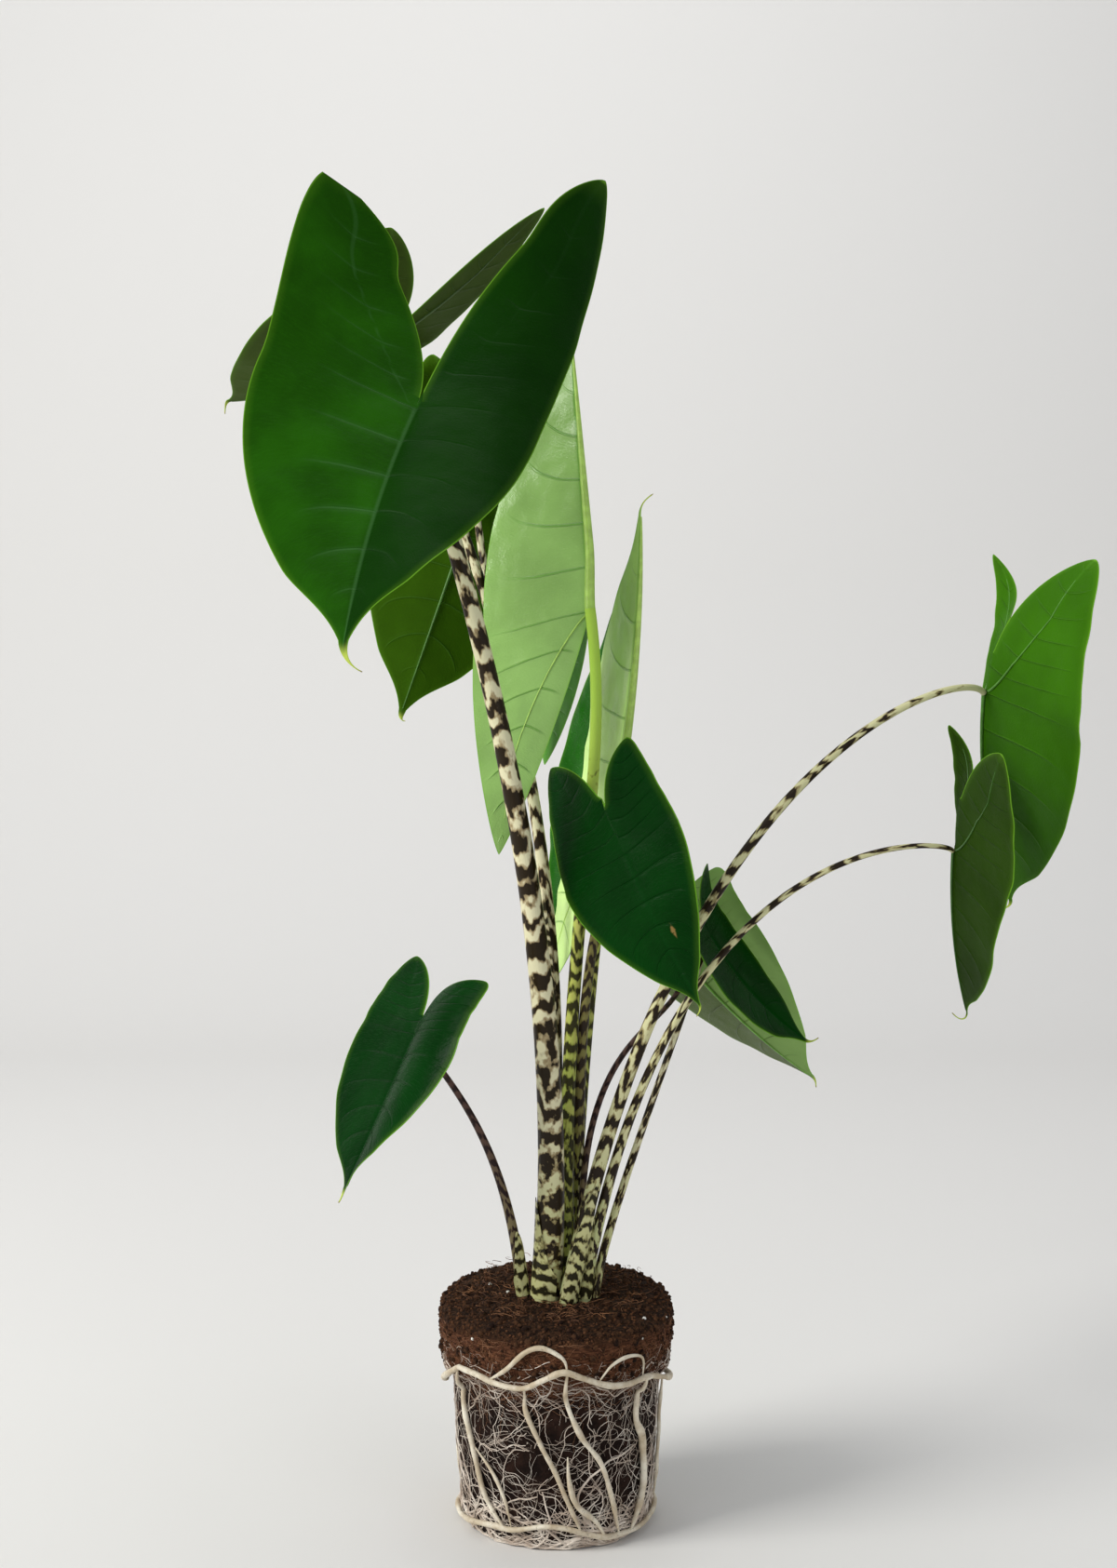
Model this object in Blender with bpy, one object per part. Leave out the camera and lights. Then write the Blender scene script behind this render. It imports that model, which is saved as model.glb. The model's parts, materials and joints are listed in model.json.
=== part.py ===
"""Alocasia zebrina with a bare root ball: eleven arrow-shaped blades on spotted stalks.

The plant stands on the flat underside of its root ball. +Z is up, -Y is the front, and the origin
is the centre of the underside. Sizes are in millimetres and degrees in the tables below, and the
meshes are made in metres.
"""
import math

import bmesh
import bpy
import numpy as np
from mathutils import Vector, noise

MM = 0.001

# ---- root ball: radius and height down its outside, from the centre of the top to the underside
BALL_TOP = ((0, 135), (15, 134.6), (30, 133.6), (45, 132.2), (59, 130.6), (68, 129.2))
BALL_RIM = ((71.6, 126.5), (72.2, 121), (71.2, 111), (70, 101), (69, 92.5), (67.6, 89.5))
BALL_BODY = ((63.6, 87), (63.4, 82), (62.4, 68), (61.4, 54), (60.4, 40), (59.4, 26), (58.4, 12),
             (57.4, 5), (55, 1.5))
BALL_FOOT = 52.0  # radius of the flat underside
BALL_SIDES = 40
STEP_RISE = 11.0  # how much higher the step lies at the front than at the sides and back
TOP_TILT = 5.0  # the top face lies this much higher at the sides than at the front, twice at the back
STEP_BAND = (70, 86, 94, 112)  # heights between which the step's rise comes in and goes out
BALL_RELIEF = 0.9  # height of the lumps in the soil
HOLE_DEPTH = 24.0
HOLE_GAP = 0.45  # between a stalk and its hole, all round
HOLE_SIDES = 16

# ---- roots: radius, whether it closes on itself, and waypoints (azimuth from the front, height)
ROOT_GAP = 0.5  # between a root and the soil
ROOT_SIDES = 5
ROOTS = {
    "collar": (2.1, True, ((-52, 105), (-40, 104), (-30, 101), (-16, 100), (-6, 106), (3, 111),
                           (12, 107), (24, 101), (36, 99), (50, 100), (66, 94), (90, 86),
                           (120, 84), (150, 80), (180, 84), (210, 80), (240, 83), (275, 86))),
    "loop": (1.6, False, ((-35, 101), (-24, 110), (-14, 122), (-6, 125), (3, 119), (5, 111))),
    "arch": (1.3, False, ((20, 102), (26, 112), (35, 116), (44, 113), (46, 101))),
    "foot": (1.9, True, ((-76, 6), (-56, 9), (-38, 12), (-25, 12), (-8, 16), (5, 15), (16, 11),
                         (29, 7), (43, 6), (60, 6), (90, 9), (120, 6), (150, 9), (180, 6),
                         (210, 9), (240, 6), (265, 7))),
    "left_run": (2.0, False, ((-54, 104), (-58, 82), (-51, 56), (-43, 29), (-30, 12))),
    "left_inner": (1.3, False, ((-50, 56), (-38, 45), (-30, 30), (-26, 13))),
    "left_middle": (1.8, False, ((-15, 100), (-16, 86), (-8, 65), (-1, 50), (5, 34), (14, 12))),
    "middle": (2.0, False, ((6, 58), (7, 43), (11, 29), (22, 18), (28, 8))),
    "right_middle": (1.9, False, ((5, 110), (5, 92), (13, 70), (24, 53), (31, 33), (38, 7))),
    "right_run": (2.5, False, ((48, 99), (46, 76), (52, 60), (56, 30), (47, 7))),
    "side_right": (1.5, False, ((88, 87), (94, 62), (86, 40), (92, 9))),
    "back_right": (1.8, False, ((134, 83), (126, 58), (136, 34), (130, 8))),
    "back_left": (1.7, False, ((200, 82), (208, 56), (198, 34), (206, 8))),
    "side_left": (1.5, False, ((258, 85), (250, 60), (260, 36), (254, 7))),
}
ROOT_STEP = 7.0  # mm between the rings of a root's mesh

# ---- blades and their stalks
BLADE_THICK = 1.1
JOINT_GAP = 0.35  # between the end of a stalk and its blade
STALK_SIDES = 8
STALK_RINGS = 18
SOIL_ENTRY = 137.0  # height at which a stalk starts to lean
LOBE_ROWS = 8
FRONT_ROWS = 9
COLUMNS = 3


def leaf(junction, aim, length, foot, bow, thickness, width=(0.45, 0.45), lobes=(0.75, 0.75),
         spread=(0.4, 0.4), droop=0, sway=0, lift=(0, 0), twist=0, fold=(15, 15), cup=(0, 0),
         tip=(1.0, 1.0), lobe_shape=(2.4, 0.65, 2.0), web=0.2, colour="green"):
    """One leaf: blade and stalk. Where two values are given for the blade's sides, the first is
    for the side on the right when the blade is seen from above with its tip ahead.

    junction    where stalk and blade meet
    aim         heading from the front (to the right is positive), pitch and roll of the midrib
    length      of the midrib, from the junction to the tip
    foot        where the stalk enters the soil; bow the two points that pull its curve
    thickness   the stalk's radius at its foot and at the blade
    width, lobes, spread   each side's breadth at the junction, how far its hind lobe reaches
                back, and how far from the midrib's line the lobe ends, as shares of the length
    droop, sway the midrib's bend down and sideways; twist turns the sides about it
    lift        how far each hind lobe bends up; fold and cup raise each side and curl its margin
    tip         sharpness and fullness of the front part
    lobe_shape  how late the hind lobes turn outwards, how round they end, how long they stay wide
    web         share of the lobes that is still joined behind the junction
    """
    return dict(junction=np.array(junction) * MM, aim=aim, length=length * MM,
                half_width=[length * MM * w for w in width],
                lobe_length=[length * MM * a for a in lobes],
                lobe_spread=[length * MM * b for b in spread],
                droop=droop, sway=sway, lift=lift, twist=twist, fold=fold, cup=cup, tip=tip,
                lobe_shape=lobe_shape, web=web, foot=foot, bow=bow, thickness=thickness,
                colour=colour)


LEAVES = {
    "front": leaf(
        junction=(-82, -70, 671), aim=(-23, -50, -17), length=190,
        foot=(-6, -6), bow=((10, -30, 350), (-45, -55, 550)), thickness=(9.5, 4.5),
        width=(0.5, 0.4), lobes=(0.66, 1.1), spread=(0.55, 0.4), sway=-12, lift=(5, 30),
        twist=-22, cup=(0, -55), lobe_shape=(1.6, 0.65, 2), web=0.03),
    "behind": leaf(
        junction=(-121, 80, 744), aim=(-128, -20, -5), length=145,
        foot=(-8, 14), bow=((25, 15, 440), (-60, 15, 640)), thickness=(5.5, 2.8),
        width=(0.35, 0.5), lobes=(0.9, 0.6), spread=(0.5, 0.3), droop=-25, lift=(40, 35),
        fold=(5, 20), colour="dark"),
    "hanging": leaf(
        junction=(-56, 130, 648), aim=(-100, -70, 80), length=158,
        foot=(-2, 24), bow=((4, 50, 340), (-38, 95, 500)), thickness=(4.5, 2.5),
        lobes=(0.4, 0.55), spread=(0.3, 0.4), fold=(10, 10)),
    "pale": leaf(
        junction=(21, 0, 560), aim=(-140, 84, 140), length=180,
        foot=(5, 10), bow=((5, 5, 400), (35, 0, 450)), thickness=(5, 3.4),
        width=(0.38, 0.38), lobes=(0.82, 0.5), spread=(0.37, 0.3), sway=0, twist=20,
        fold=(12, 110), lobe_shape=(0.55, 0.8, 1.0), web=0.02, colour="pale"),
    "rolled": leaf(
        junction=(34, 20, 435), aim=(45, 75, -15), length=195,
        foot=(9, 24), bow=((15, 30, 255), (25, 30, 375)), thickness=(4.2, 3.4),
        width=(0.5, 0.6), lobes=(0.75, 0.5), droop=-20, fold=(104, 65), cup=(5, 25),
        colour="pale"),
    "mid": leaf(
        junction=(40, -65, 411), aim=(45, -60, 70), length=100,
        foot=(16, 12), bow=((10, 25, 260), (18, 10, 385)), thickness=(4.3, 2.6),
        width=(0.55, 0.42), lobes=(0.85, 0.65), spread=(0.37, 0.43), droop=25, lift=(-10, 40),
        twist=10, fold=(-20, 10), tip=(1.2, 1.0), web=0.45, colour="dark"),
    "glossy": leaf(
        junction=(100, 50, 354), aim=(95, -60, 5), length=95,
        foot=(24, -5), bow=((28, 0, 180), (90, 40, 320)), thickness=(3, 1.8),
        width=(0.5, 0.5), lobes=(0.75, 0.5), spread=(0.37, 0.37), droop=-25, lift=(0, 40),
        twist=-5, fold=(-15, 20), tip=(0.9, 1.2), colour="dark"),
    "olive": leaf(
        junction=(92, 130, 328), aim=(85, -50, -45), length=120,
        foot=(17, 3), bow=((5, 5, 310), (78, 80, 280)), thickness=(2.5, 1.7),
        width=(0.5, 0.5), lobes=(0.5, 0.75), droop=-20, lift=(40, 0), twist=-10, fold=(20, 15)),
    "right_high": leaf(
        junction=(267, 0, 510), aim=(180, -67, 73), length=157,
        foot=(7, -15), bow=((70, -45, 475), (245, -30, 525)), thickness=(5.5, 2.0),
        width=(0.6, 0.25), lobes=(0.65, 0.5), spread=(0.35, 0.45), droop=-25, lift=(40, 25),
        twist=10, fold=(5, 55), cup=(0, -55), tip=(1.0, 0.9), web=0.25),
    "right_low": leaf(
        junction=(240, -35, 413), aim=(175, -60, 80), length=128,
        foot=(17, -10), bow=((65, -45, 435), (230, -45, 420)), thickness=(4, 1.5),
        width=(0.6, 0.4), lobes=(0.7, 0.4), spread=(0.35, 0.55), droop=-15, lift=(5, 10),
        twist=5, fold=(10, 40), cup=(0, -55), tip=(1.3, 1.3), web=0.4),
    "left_low": leaf(
        junction=(-84, -50, 304), aim=(-50, -60, 20), length=100,
        foot=(-21, -4), bow=((-30, -20, 240), (-67, -40, 275)), thickness=(4, 1.5),
        width=(0.6, 0.55), lobes=(0.5, 0.4), spread=(0.35, 0.5), lift=(0, -15), cup=(5, -55),
        tip=(1.0, 1.3), web=0.25, colour="dark"),
}

GREENS = {"green": (0.022, 0.105, 0.016), "pale": (0.30, 0.46, 0.16), "dark": (0.010, 0.055, 0.022)}
STALK_COLOURS = {"green": (0.42, 0.38, 0.24), "pale": (0.45, 0.50, 0.10), "dark": (0.36, 0.31, 0.22)}


# ---- materials and objects
def material(name, colour, roughness):
    mat = bpy.data.materials.new(name)
    mat.use_nodes = True
    shader = mat.node_tree.nodes["Principled BSDF"]
    shader.inputs["Base Color"].default_value = (*colour, 1)
    shader.inputs["Roughness"].default_value = roughness
    shader.inputs["Metallic"].default_value = 0.0
    mat.diffuse_color = (*colour, 1)
    return mat


def mesh_object(name, verts, faces, mat, sharp=40):
    mesh = bpy.data.meshes.new(name)
    mesh.from_pydata([tuple(v) for v in verts], [], faces)
    mesh.validate()
    mesh.materials.append(mat)
    mesh.shade_smooth()
    mesh.set_sharp_from_angle(angle=math.radians(sharp))
    obj = bpy.data.objects.new(name, mesh)
    bpy.context.scene.collection.objects.link(obj)
    return obj


def union(name, parts, mat):
    """Join closed meshes into one body and drop the pieces."""
    group = bpy.data.collections.new(name + "_pieces")
    bpy.context.scene.collection.children.link(group)
    for part in parts[1:]:
        bpy.context.scene.collection.objects.unlink(part)
        group.objects.link(part)
    base = parts[0]
    step = base.modifiers.new("join", "BOOLEAN")
    step.operation = "UNION"
    step.operand_type = "COLLECTION"
    step.collection = group
    step.solver = "EXACT"
    apply_modifiers(base)
    for part in parts[1:]:
        bpy.data.objects.remove(part)
    bpy.data.collections.remove(group)
    base.name = base.data.name = name
    base.data.materials.clear()
    base.data.materials.append(mat)
    return base


def apply_modifiers(obj):
    graph = bpy.context.evaluated_depsgraph_get()
    graph.update()
    mesh = bpy.data.meshes.new_from_object(obj.evaluated_get(graph))
    obj.modifiers.clear()
    obj.data = mesh


# ---- curves and tubes
def bezier(points, t):
    a, b, c, d = (np.asarray(p, float) for p in points)
    t = np.asarray(t, float)[:, None]
    return (1 - t) ** 3 * a + 3 * t * (1 - t) ** 2 * b + 3 * t * t * (1 - t) * c + t ** 3 * d


def smooth_path(points, closed, step):
    """Catmull-Rom curve through the points, with a sample about every step."""
    pts = np.asarray(points, float)
    n = len(pts)
    out = []
    for i in range(n if closed else n - 1):
        if closed:
            p0, p1, p2, p3 = (pts[(i + k) % n] for k in (-1, 0, 1, 2))
        else:
            p0, p1, p2, p3 = (pts[min(max(i + k, 0), n - 1)] for k in (-1, 0, 1, 2))
        count = max(1, round(float(np.linalg.norm(p2 - p1)) / step))
        for t in np.arange(count) / count:
            out.append(0.5 * (2 * p1 + (p2 - p0) * t + (2 * p0 - 5 * p1 + 4 * p2 - p3) * t ** 2
                              + (3 * p1 - p0 - 3 * p2 + p3) * t ** 3))
    if not closed:
        out.append(pts[-1])
    return np.array(out)


def tube(path, radii, sides, closed=False):
    """Vertices and faces of a tube that follows the path without twisting."""
    path = np.asarray(path, float)
    n = len(path)
    if closed:
        tangents = np.roll(path, -1, 0) - np.roll(path, 1, 0)
    else:
        tangents = np.gradient(path, axis=0)
    tangents /= np.linalg.norm(tangents, axis=1)[:, None]
    side = np.cross(tangents[0], (0, 0, 1.0) if abs(tangents[0][2]) < 0.9 else (0, 1.0, 0))
    verts = []
    for centre, tangent, radius in zip(path, tangents, radii):
        side = side - tangent * (side @ tangent)
        side /= np.linalg.norm(side)
        other = np.cross(tangent, side)
        for k in range(sides):
            a = 2 * math.pi * k / sides
            verts.append(centre + radius * (side * math.cos(a) + other * math.sin(a)))
    faces = []
    for i in range(n if closed else n - 1):
        here, there = i * sides, (i + 1) % n * sides
        for k in range(sides):
            m = (k + 1) % sides
            faces.append((here + k, here + m, there + m, there + k))
    if not closed:
        faces.append(tuple(reversed(range(sides))))
        faces.append(tuple((n - 1) * sides + k for k in range(sides)))
    return verts, faces


# ---- root ball
def relief(point, scale, height):
    """Seedless, smooth lumps: the same at the same place each time."""
    return height * noise.noise(Vector(point) / (scale * MM))


def step_shift(azimuth, height):
    """How far the outline is lifted at a height, so that the step runs higher at the front."""
    weight = float(np.interp(height, STEP_BAND, (0, 1, 1, 0)))
    return STEP_RISE * weight * max(0.0, math.cos(azimuth)) ** 0.7


def body_radius(azimuth, height):
    """Radius of the ball's outside at a height on its body or rim, in mm."""
    line = [(h + step_shift(azimuth, h), r) for r, h in reversed(BALL_RIM + BALL_BODY)]
    return float(np.interp(height, [h for h, _ in line], [r for _, r in line]))


def lumps(x, y, height):
    """Outward lumps of the ball's side at a point given in mm."""
    return relief((x * MM, y * MM, height * MM), 17, BALL_RELIEF)


def ball_point(azimuth, radius, height):
    """Point on the lumpy outside; azimuth in radians from the front, to the right."""
    if radius > 54 and height < 128:
        height += step_shift(azimuth, height)
    x, y = radius * math.sin(azimuth), -radius * math.cos(azimuth)
    grow = 1 + lumps(x, y, height) / max(radius, 20) if height > 1 else 1
    lift = 0
    if height > 112:
        lift = TOP_TILT * (1 - math.cos(azimuth)) * min(1, radius / 60) * min(1, (height - 112) / 10)
    if height > 128:
        lift += relief((x * MM + 1, y * MM, 0), 11, BALL_RELIEF)
    return np.array([x * grow, y * grow, height + lift]) * MM


def make_root_ball():
    rings = [p for p in BALL_TOP[1:] + BALL_RIM + BALL_BODY] + [(BALL_FOOT, 0)]
    verts = [np.array([0, 0, BALL_TOP[0][1]]) * MM]
    for radius, height in rings:
        for k in range(BALL_SIDES):
            verts.append(ball_point(2 * math.pi * k / BALL_SIDES, radius, height))
    faces = [(0, 1 + k, 1 + (k + 1) % BALL_SIDES) for k in range(BALL_SIDES)]
    for i in range(len(rings) - 1):
        here, there = 1 + i * BALL_SIDES, 1 + (i + 1) * BALL_SIDES
        for k in range(BALL_SIDES):
            m = (k + 1) % BALL_SIDES
            a, b, c, d = here + k, there + k, there + m, here + m
            faces += [(a, b, c), (a, c, d)]
    last = 1 + (len(rings) - 1) * BALL_SIDES
    faces.append(tuple(last + k for k in reversed(range(BALL_SIDES))))
    soil = material("soil", (0.035, 0.014, 0.008), 0.95)
    ball = mesh_object("root_ball", verts, faces, soil)
    drill_holes(ball)
    return ball


def drill_holes(ball):
    """One plain hole for each stalk, as deep as the stalk goes."""
    group = bpy.data.collections.new("holes")
    bpy.context.scene.collection.children.link(group)
    for name, data in LEAVES.items():
        x, y = data["foot"]
        radius = (data["thickness"][0] + HOLE_GAP) * MM / math.cos(math.pi / HOLE_SIDES)
        mesh = bpy.data.meshes.new(name)
        form = bmesh.new()
        bmesh.ops.create_cone(form, cap_ends=True, segments=HOLE_SIDES, radius1=radius,
                              radius2=radius, depth=2 * HOLE_DEPTH * MM)
        form.to_mesh(mesh)
        form.free()
        cutter = bpy.data.objects.new("hole_" + name, mesh)
        cutter.location = (x * MM, y * MM, BALL_TOP[0][1] * MM)
        group.objects.link(cutter)
    step = ball.modifiers.new("holes", "BOOLEAN")
    step.operation = "DIFFERENCE"
    step.operand_type = "COLLECTION"
    step.collection = group
    step.solver = "EXACT"
    bpy.context.view_layer.update()
    apply_modifiers(ball)
    for cutter in list(group.objects):
        bpy.data.objects.remove(cutter)
    bpy.data.collections.remove(group)


# ---- roots
def root_point(azimuth, height, radius):
    """Centre of a root that lies on the ball, clear of the lumps round it."""
    near = [body_radius(azimuth, height + k * radius) for k in (-2, -1, 0, 1, 2)]
    out = max(near) + radius + ROOT_GAP
    x, y = out * math.sin(azimuth), -out * math.cos(azimuth)
    out += max(0.0, lumps(x, y, height))
    return np.array([out * math.sin(azimuth), -out * math.cos(azimuth), height]) * MM


def make_roots():
    cream = material("root", (0.62, 0.52, 0.36), 0.6)
    unroll = math.radians(1) * BALL_BODY[2][0]
    parts = []
    for name, (radius, closed, way) in ROOTS.items():
        flat = [(azimuth * unroll, height) for azimuth, height in way]
        if closed:
            flat.append((flat[0][0] + 360 * unroll, flat[0][1]))
        flat = smooth_path(flat, False, ROOT_STEP)
        if closed:
            flat = flat[:-1]
        path = [root_point(math.radians(a / unroll), h, radius) for a, h in flat]
        verts, faces = tube(path, [radius * MM] * len(path), ROOT_SIDES, closed)
        parts.append(mesh_object("root_" + name, verts, faces, cream))
    return union("roots", parts, cream)


# ---- leaves
def midrib_frame(aim):
    """Unit vectors along the midrib, up from the blade's upper face, and to its right."""
    heading, pitch, roll = (math.radians(a) for a in aim)
    ahead = np.array([math.sin(heading) * math.cos(pitch), -math.cos(heading) * math.cos(pitch),
                      math.sin(pitch)])
    up = np.array([0, 0, 1.0]) - ahead * ahead[2]
    up /= np.linalg.norm(up)
    right = np.cross(ahead, up)
    up = up * math.cos(roll) + right * math.sin(roll)
    return ahead, up, np.cross(ahead, up)


def arc(angle, share):
    """How far along and how far aside a bend of this whole angle has come."""
    angle = angle if abs(angle) > 1e-6 else 1e-6
    return np.sin(angle * share) / angle, (1 - np.cos(angle * share)) / angle


def margins(data, side, row):
    """Inner and outer margin at a row: -1 is the lobe's end, 0 the junction, 1 the tip."""
    width, spread = data["half_width"][side], data["lobe_spread"][side]
    sharp, full = data["tip"]
    turn, rounding, fatness = data["lobe_shape"]
    ahead, behind = np.clip(row, 0, 1), np.clip(-row, 0, 1)
    front = width * (1 - ahead) ** sharp * (1 + full * ahead)
    centre = width / 2 + (spread - width / 2) * behind ** turn
    chord = width / 2 * (1 - behind ** fatness) ** rounding
    opening = np.clip((behind - data["web"]) / (1 - data["web"]), 0, 1) ** 0.35
    return (np.where(row >= 0, 0, (centre - chord) * opening),
            np.where(row >= 0, front, centre + chord))


def blade_point(data, side, row, share):
    """Point of the blade's middle surface; share runs from the inner to the outer margin."""
    row, share = np.broadcast_arrays(np.asarray(row, float), np.asarray(share, float))
    ahead, up, right = midrib_frame(data["aim"])
    sign = 1 - 2 * side
    inner, outer = margins(data, side, row)
    reach = inner + (outer - inner) * share
    front, behind = np.clip(row, 0, 1), np.clip(-row, 0, 1)
    droop, lift = math.radians(data["droop"]), math.radians(data["lift"][side])
    front_along, front_down = arc(droop, front)
    lobe_along, lobe_up = arc(lift, behind)
    along = np.where(row >= 0, data["length"] * front_along, -data["lobe_length"][side] * lobe_along)
    rise = np.where(row >= 0, -data["length"] * front_down, data["lobe_length"][side] * lobe_up)
    aside = np.where(row >= 0, data["length"] * math.radians(data["sway"]) * front ** 2 / 2, 0)
    bend = np.where(row >= 0, -droop * front, -lift * behind)[..., None]
    local_up = up * np.cos(bend) - ahead * np.sin(bend)
    twist = (math.radians(data["twist"]) * row)[..., None]
    local_right = right * np.cos(twist) + local_up * np.sin(twist)
    local_up = local_up * np.cos(twist) - right * np.sin(twist)
    fold, cup = math.radians(data["fold"][side]), math.radians(data["cup"][side])
    width = data["half_width"][side]
    flat, curl = arc(cup, reach / width)
    out = width * (flat * math.cos(fold) - curl * math.sin(fold))
    high = width * (flat * math.sin(fold) + curl * math.cos(fold))
    return (data["junction"] + ahead * along[..., None] + up * rise[..., None]
            + right * aside[..., None] + local_right * (sign * out)[..., None]
            + local_up * high[..., None])


def blade_sheet(data):
    """Middle surface as triangles, with the two sides joined along the midrib and the web."""
    lobe = -np.sin(np.linspace(1, 0, LOBE_ROWS, endpoint=False) * math.pi / 2)
    front = np.sin(np.linspace(0, 1, FRONT_ROWS + 1) * math.pi / 2)
    rows = np.concatenate([lobe, front])
    rows[np.abs(rows + data["web"]).argmin()] = -data["web"]
    points, faces, shared = [], [], {}

    def vertex(side, i, j):
        row = rows[i]
        if abs(row) == 1:
            j = 0
        key = (0 if j == 0 and row >= -data["web"] else side, i, j)
        if key not in shared:
            shared[key] = len(points)
            points.append(blade_point(data, side, row, j / COLUMNS))
        return shared[key]

    for side in (0, 1):
        for i in range(len(rows) - 1):
            for j in range(COLUMNS):
                corners = [vertex(side, i, j), vertex(side, i + 1, j),
                           vertex(side, i + 1, j + 1), vertex(side, i, j + 1)]
                if side == 0:
                    corners.reverse()
                for face in ((corners[0], corners[1], corners[2]),
                             (corners[0], corners[2], corners[3])):
                    if len(set(face)) == 3:
                        faces.append(face)
    return np.array(points), faces


def thicken(points, faces, thickness):
    """A closed blade: the sheet's triangles on both faces, and a wall along the margin."""
    normals = np.zeros_like(points)
    for a, b, c in faces:
        normal = np.cross(points[b] - points[a], points[c] - points[a])
        for k in (a, b, c):
            normals[k] += normal
    normals /= np.linalg.norm(normals, axis=1)[:, None]
    n = len(points)
    verts = list(points + normals * thickness / 2) + list(points - normals * thickness / 2)
    walls = {}
    for face in faces:
        for k in range(3):
            edge = (face[k], face[(k + 1) % 3])
            if walls.pop((edge[1], edge[0]), None) is None:
                walls[edge] = True
    solid = [tuple(f) for f in faces] + [tuple(n + k for k in reversed(f)) for f in faces]
    for a, b in walls:
        solid += [(b, a, n + a), (b, n + a, n + b)]
    return verts, solid


def make_blade(name, data):
    points, faces = blade_sheet(data)
    verts, solid = thicken(points, faces, BLADE_THICK * MM)
    look = material("blade_" + name, GREENS[data["colour"]], 0.35)
    return mesh_object("blade_" + name, verts, solid, look)


def stalk_curve(data, count):
    """Centre line of a stalk, from the bottom of its hole to the underside of its blade."""
    ahead, up, right = midrib_frame(data["aim"])
    x, y = data["foot"]
    radius_end = data["thickness"][1]
    pulls = [np.array(p) * MM for p in data["bow"]]
    arrival = data["junction"] - pulls[1]
    arrival /= np.linalg.norm(arrival)
    sag = math.tan(math.radians(max(0, -min(data["fold"]))))
    edge = radius_end * (math.sqrt(max(0.0, 1 - (arrival @ up) ** 2)) + sag)
    end = data["junction"] - up * (edge + BLADE_THICK / 2 + JOINT_GAP) * MM
    start = np.array([x, y, SOIL_ENTRY]) * MM
    leaning = bezier((start, pulls[0], pulls[1], end), np.linspace(0, 1, count))
    bottom = BALL_TOP[0][1] - HOLE_DEPTH + HOLE_GAP
    buried = [np.array([x, y, bottom]) * MM, np.array([x, y, BALL_TOP[0][1] - 6]) * MM]
    return np.vstack([buried, leaning])


def make_stalk(name, data):
    path = stalk_curve(data, STALK_RINGS)
    lengths = np.concatenate([[0], np.cumsum(np.linalg.norm(np.diff(path, axis=0), axis=1))])
    share = np.clip((lengths - lengths[2]) / (lengths[-1] - lengths[2]), 0, 1)
    foot, top = data["thickness"]
    radii = (foot + (top - foot) * share ** 0.7) * MM
    verts, faces = tube(path, radii, STALK_SIDES)
    look = material("stalk_" + name, STALK_COLOURS[data["colour"]], 0.4)
    return mesh_object("stalk_" + name, verts, faces, look)


def main():
    for obj in list(bpy.data.objects):
        bpy.data.objects.remove(obj)
    make_root_ball()
    make_roots()
    for name, data in LEAVES.items():
        make_stalk(name, data)
        make_blade(name, data)


main()
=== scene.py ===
"""Alocasia zebrina with a bare root ball: the finished leaves, stalks, soil and roots.

Every leaf is worked out from the same sizes as its solid, with finer rows, veins and margins.
Sizes in the tables are in millimetres and degrees; meshes are in metres, +Z up, -Y the front.
"""
import json
import math

import bpy
import numpy as np
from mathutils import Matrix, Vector, noise


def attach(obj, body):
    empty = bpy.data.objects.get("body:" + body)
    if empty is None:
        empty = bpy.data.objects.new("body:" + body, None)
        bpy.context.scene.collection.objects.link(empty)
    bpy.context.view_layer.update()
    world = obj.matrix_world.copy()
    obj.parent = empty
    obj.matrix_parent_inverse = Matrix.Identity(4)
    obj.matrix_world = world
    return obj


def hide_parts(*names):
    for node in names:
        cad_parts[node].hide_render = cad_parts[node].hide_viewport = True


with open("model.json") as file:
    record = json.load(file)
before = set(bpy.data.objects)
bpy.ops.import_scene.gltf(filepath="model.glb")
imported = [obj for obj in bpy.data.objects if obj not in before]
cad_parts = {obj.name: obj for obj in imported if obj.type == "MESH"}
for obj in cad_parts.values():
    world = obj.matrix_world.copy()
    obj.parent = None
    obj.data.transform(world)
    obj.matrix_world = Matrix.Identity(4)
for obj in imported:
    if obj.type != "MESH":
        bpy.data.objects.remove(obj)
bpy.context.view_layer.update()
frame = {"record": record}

MM = 0.001
BODY = "root"
rng = np.random.default_rng(7)


def draw(low, high):
    return float(rng.uniform(low, high))


# ---- root ball: radius and height from the centre of the top to the underside
BALL_TOP = ((0, 135), (15, 134.6), (30, 133.6), (45, 132.2), (59, 130.6), (68, 129.2))
BALL_RIM = ((71.6, 126.5), (72.2, 121), (71.2, 111), (70, 101), (69, 92.5), (67.6, 89.5))
BALL_BODY = ((63.6, 87), (63.4, 82), (62.4, 68), (61.4, 54), (60.4, 40), (59.4, 26), (58.4, 12),
             (57.4, 5), (55, 1.5))
BALL_FOOT = 52.0
STEP_RISE = 11.0
TOP_TILT = 5.0
STEP_BAND = (70, 86, 94, 112)
STEP_BAND_FALL = 0.7  # how soon the step's rise dies away round the ball
BALL_RELIEF = 0.9
LUMP_SIZE, TOP_LUMP_SIZE = 17, 11
FOOT_RADIUS = 54  # inside it the ball's outline is not raised
TOP_HEIGHT = 128
TILT_HEIGHT, TILT_BLEND, TILT_RADIUS = 112, 10, 60  # where the top's tilt comes in
CRUMB_RELIEF = 0.55
BAND_RELIEF = 1.3
SOIL_SIDES = 176
SOIL_STEP = 1.6

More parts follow.
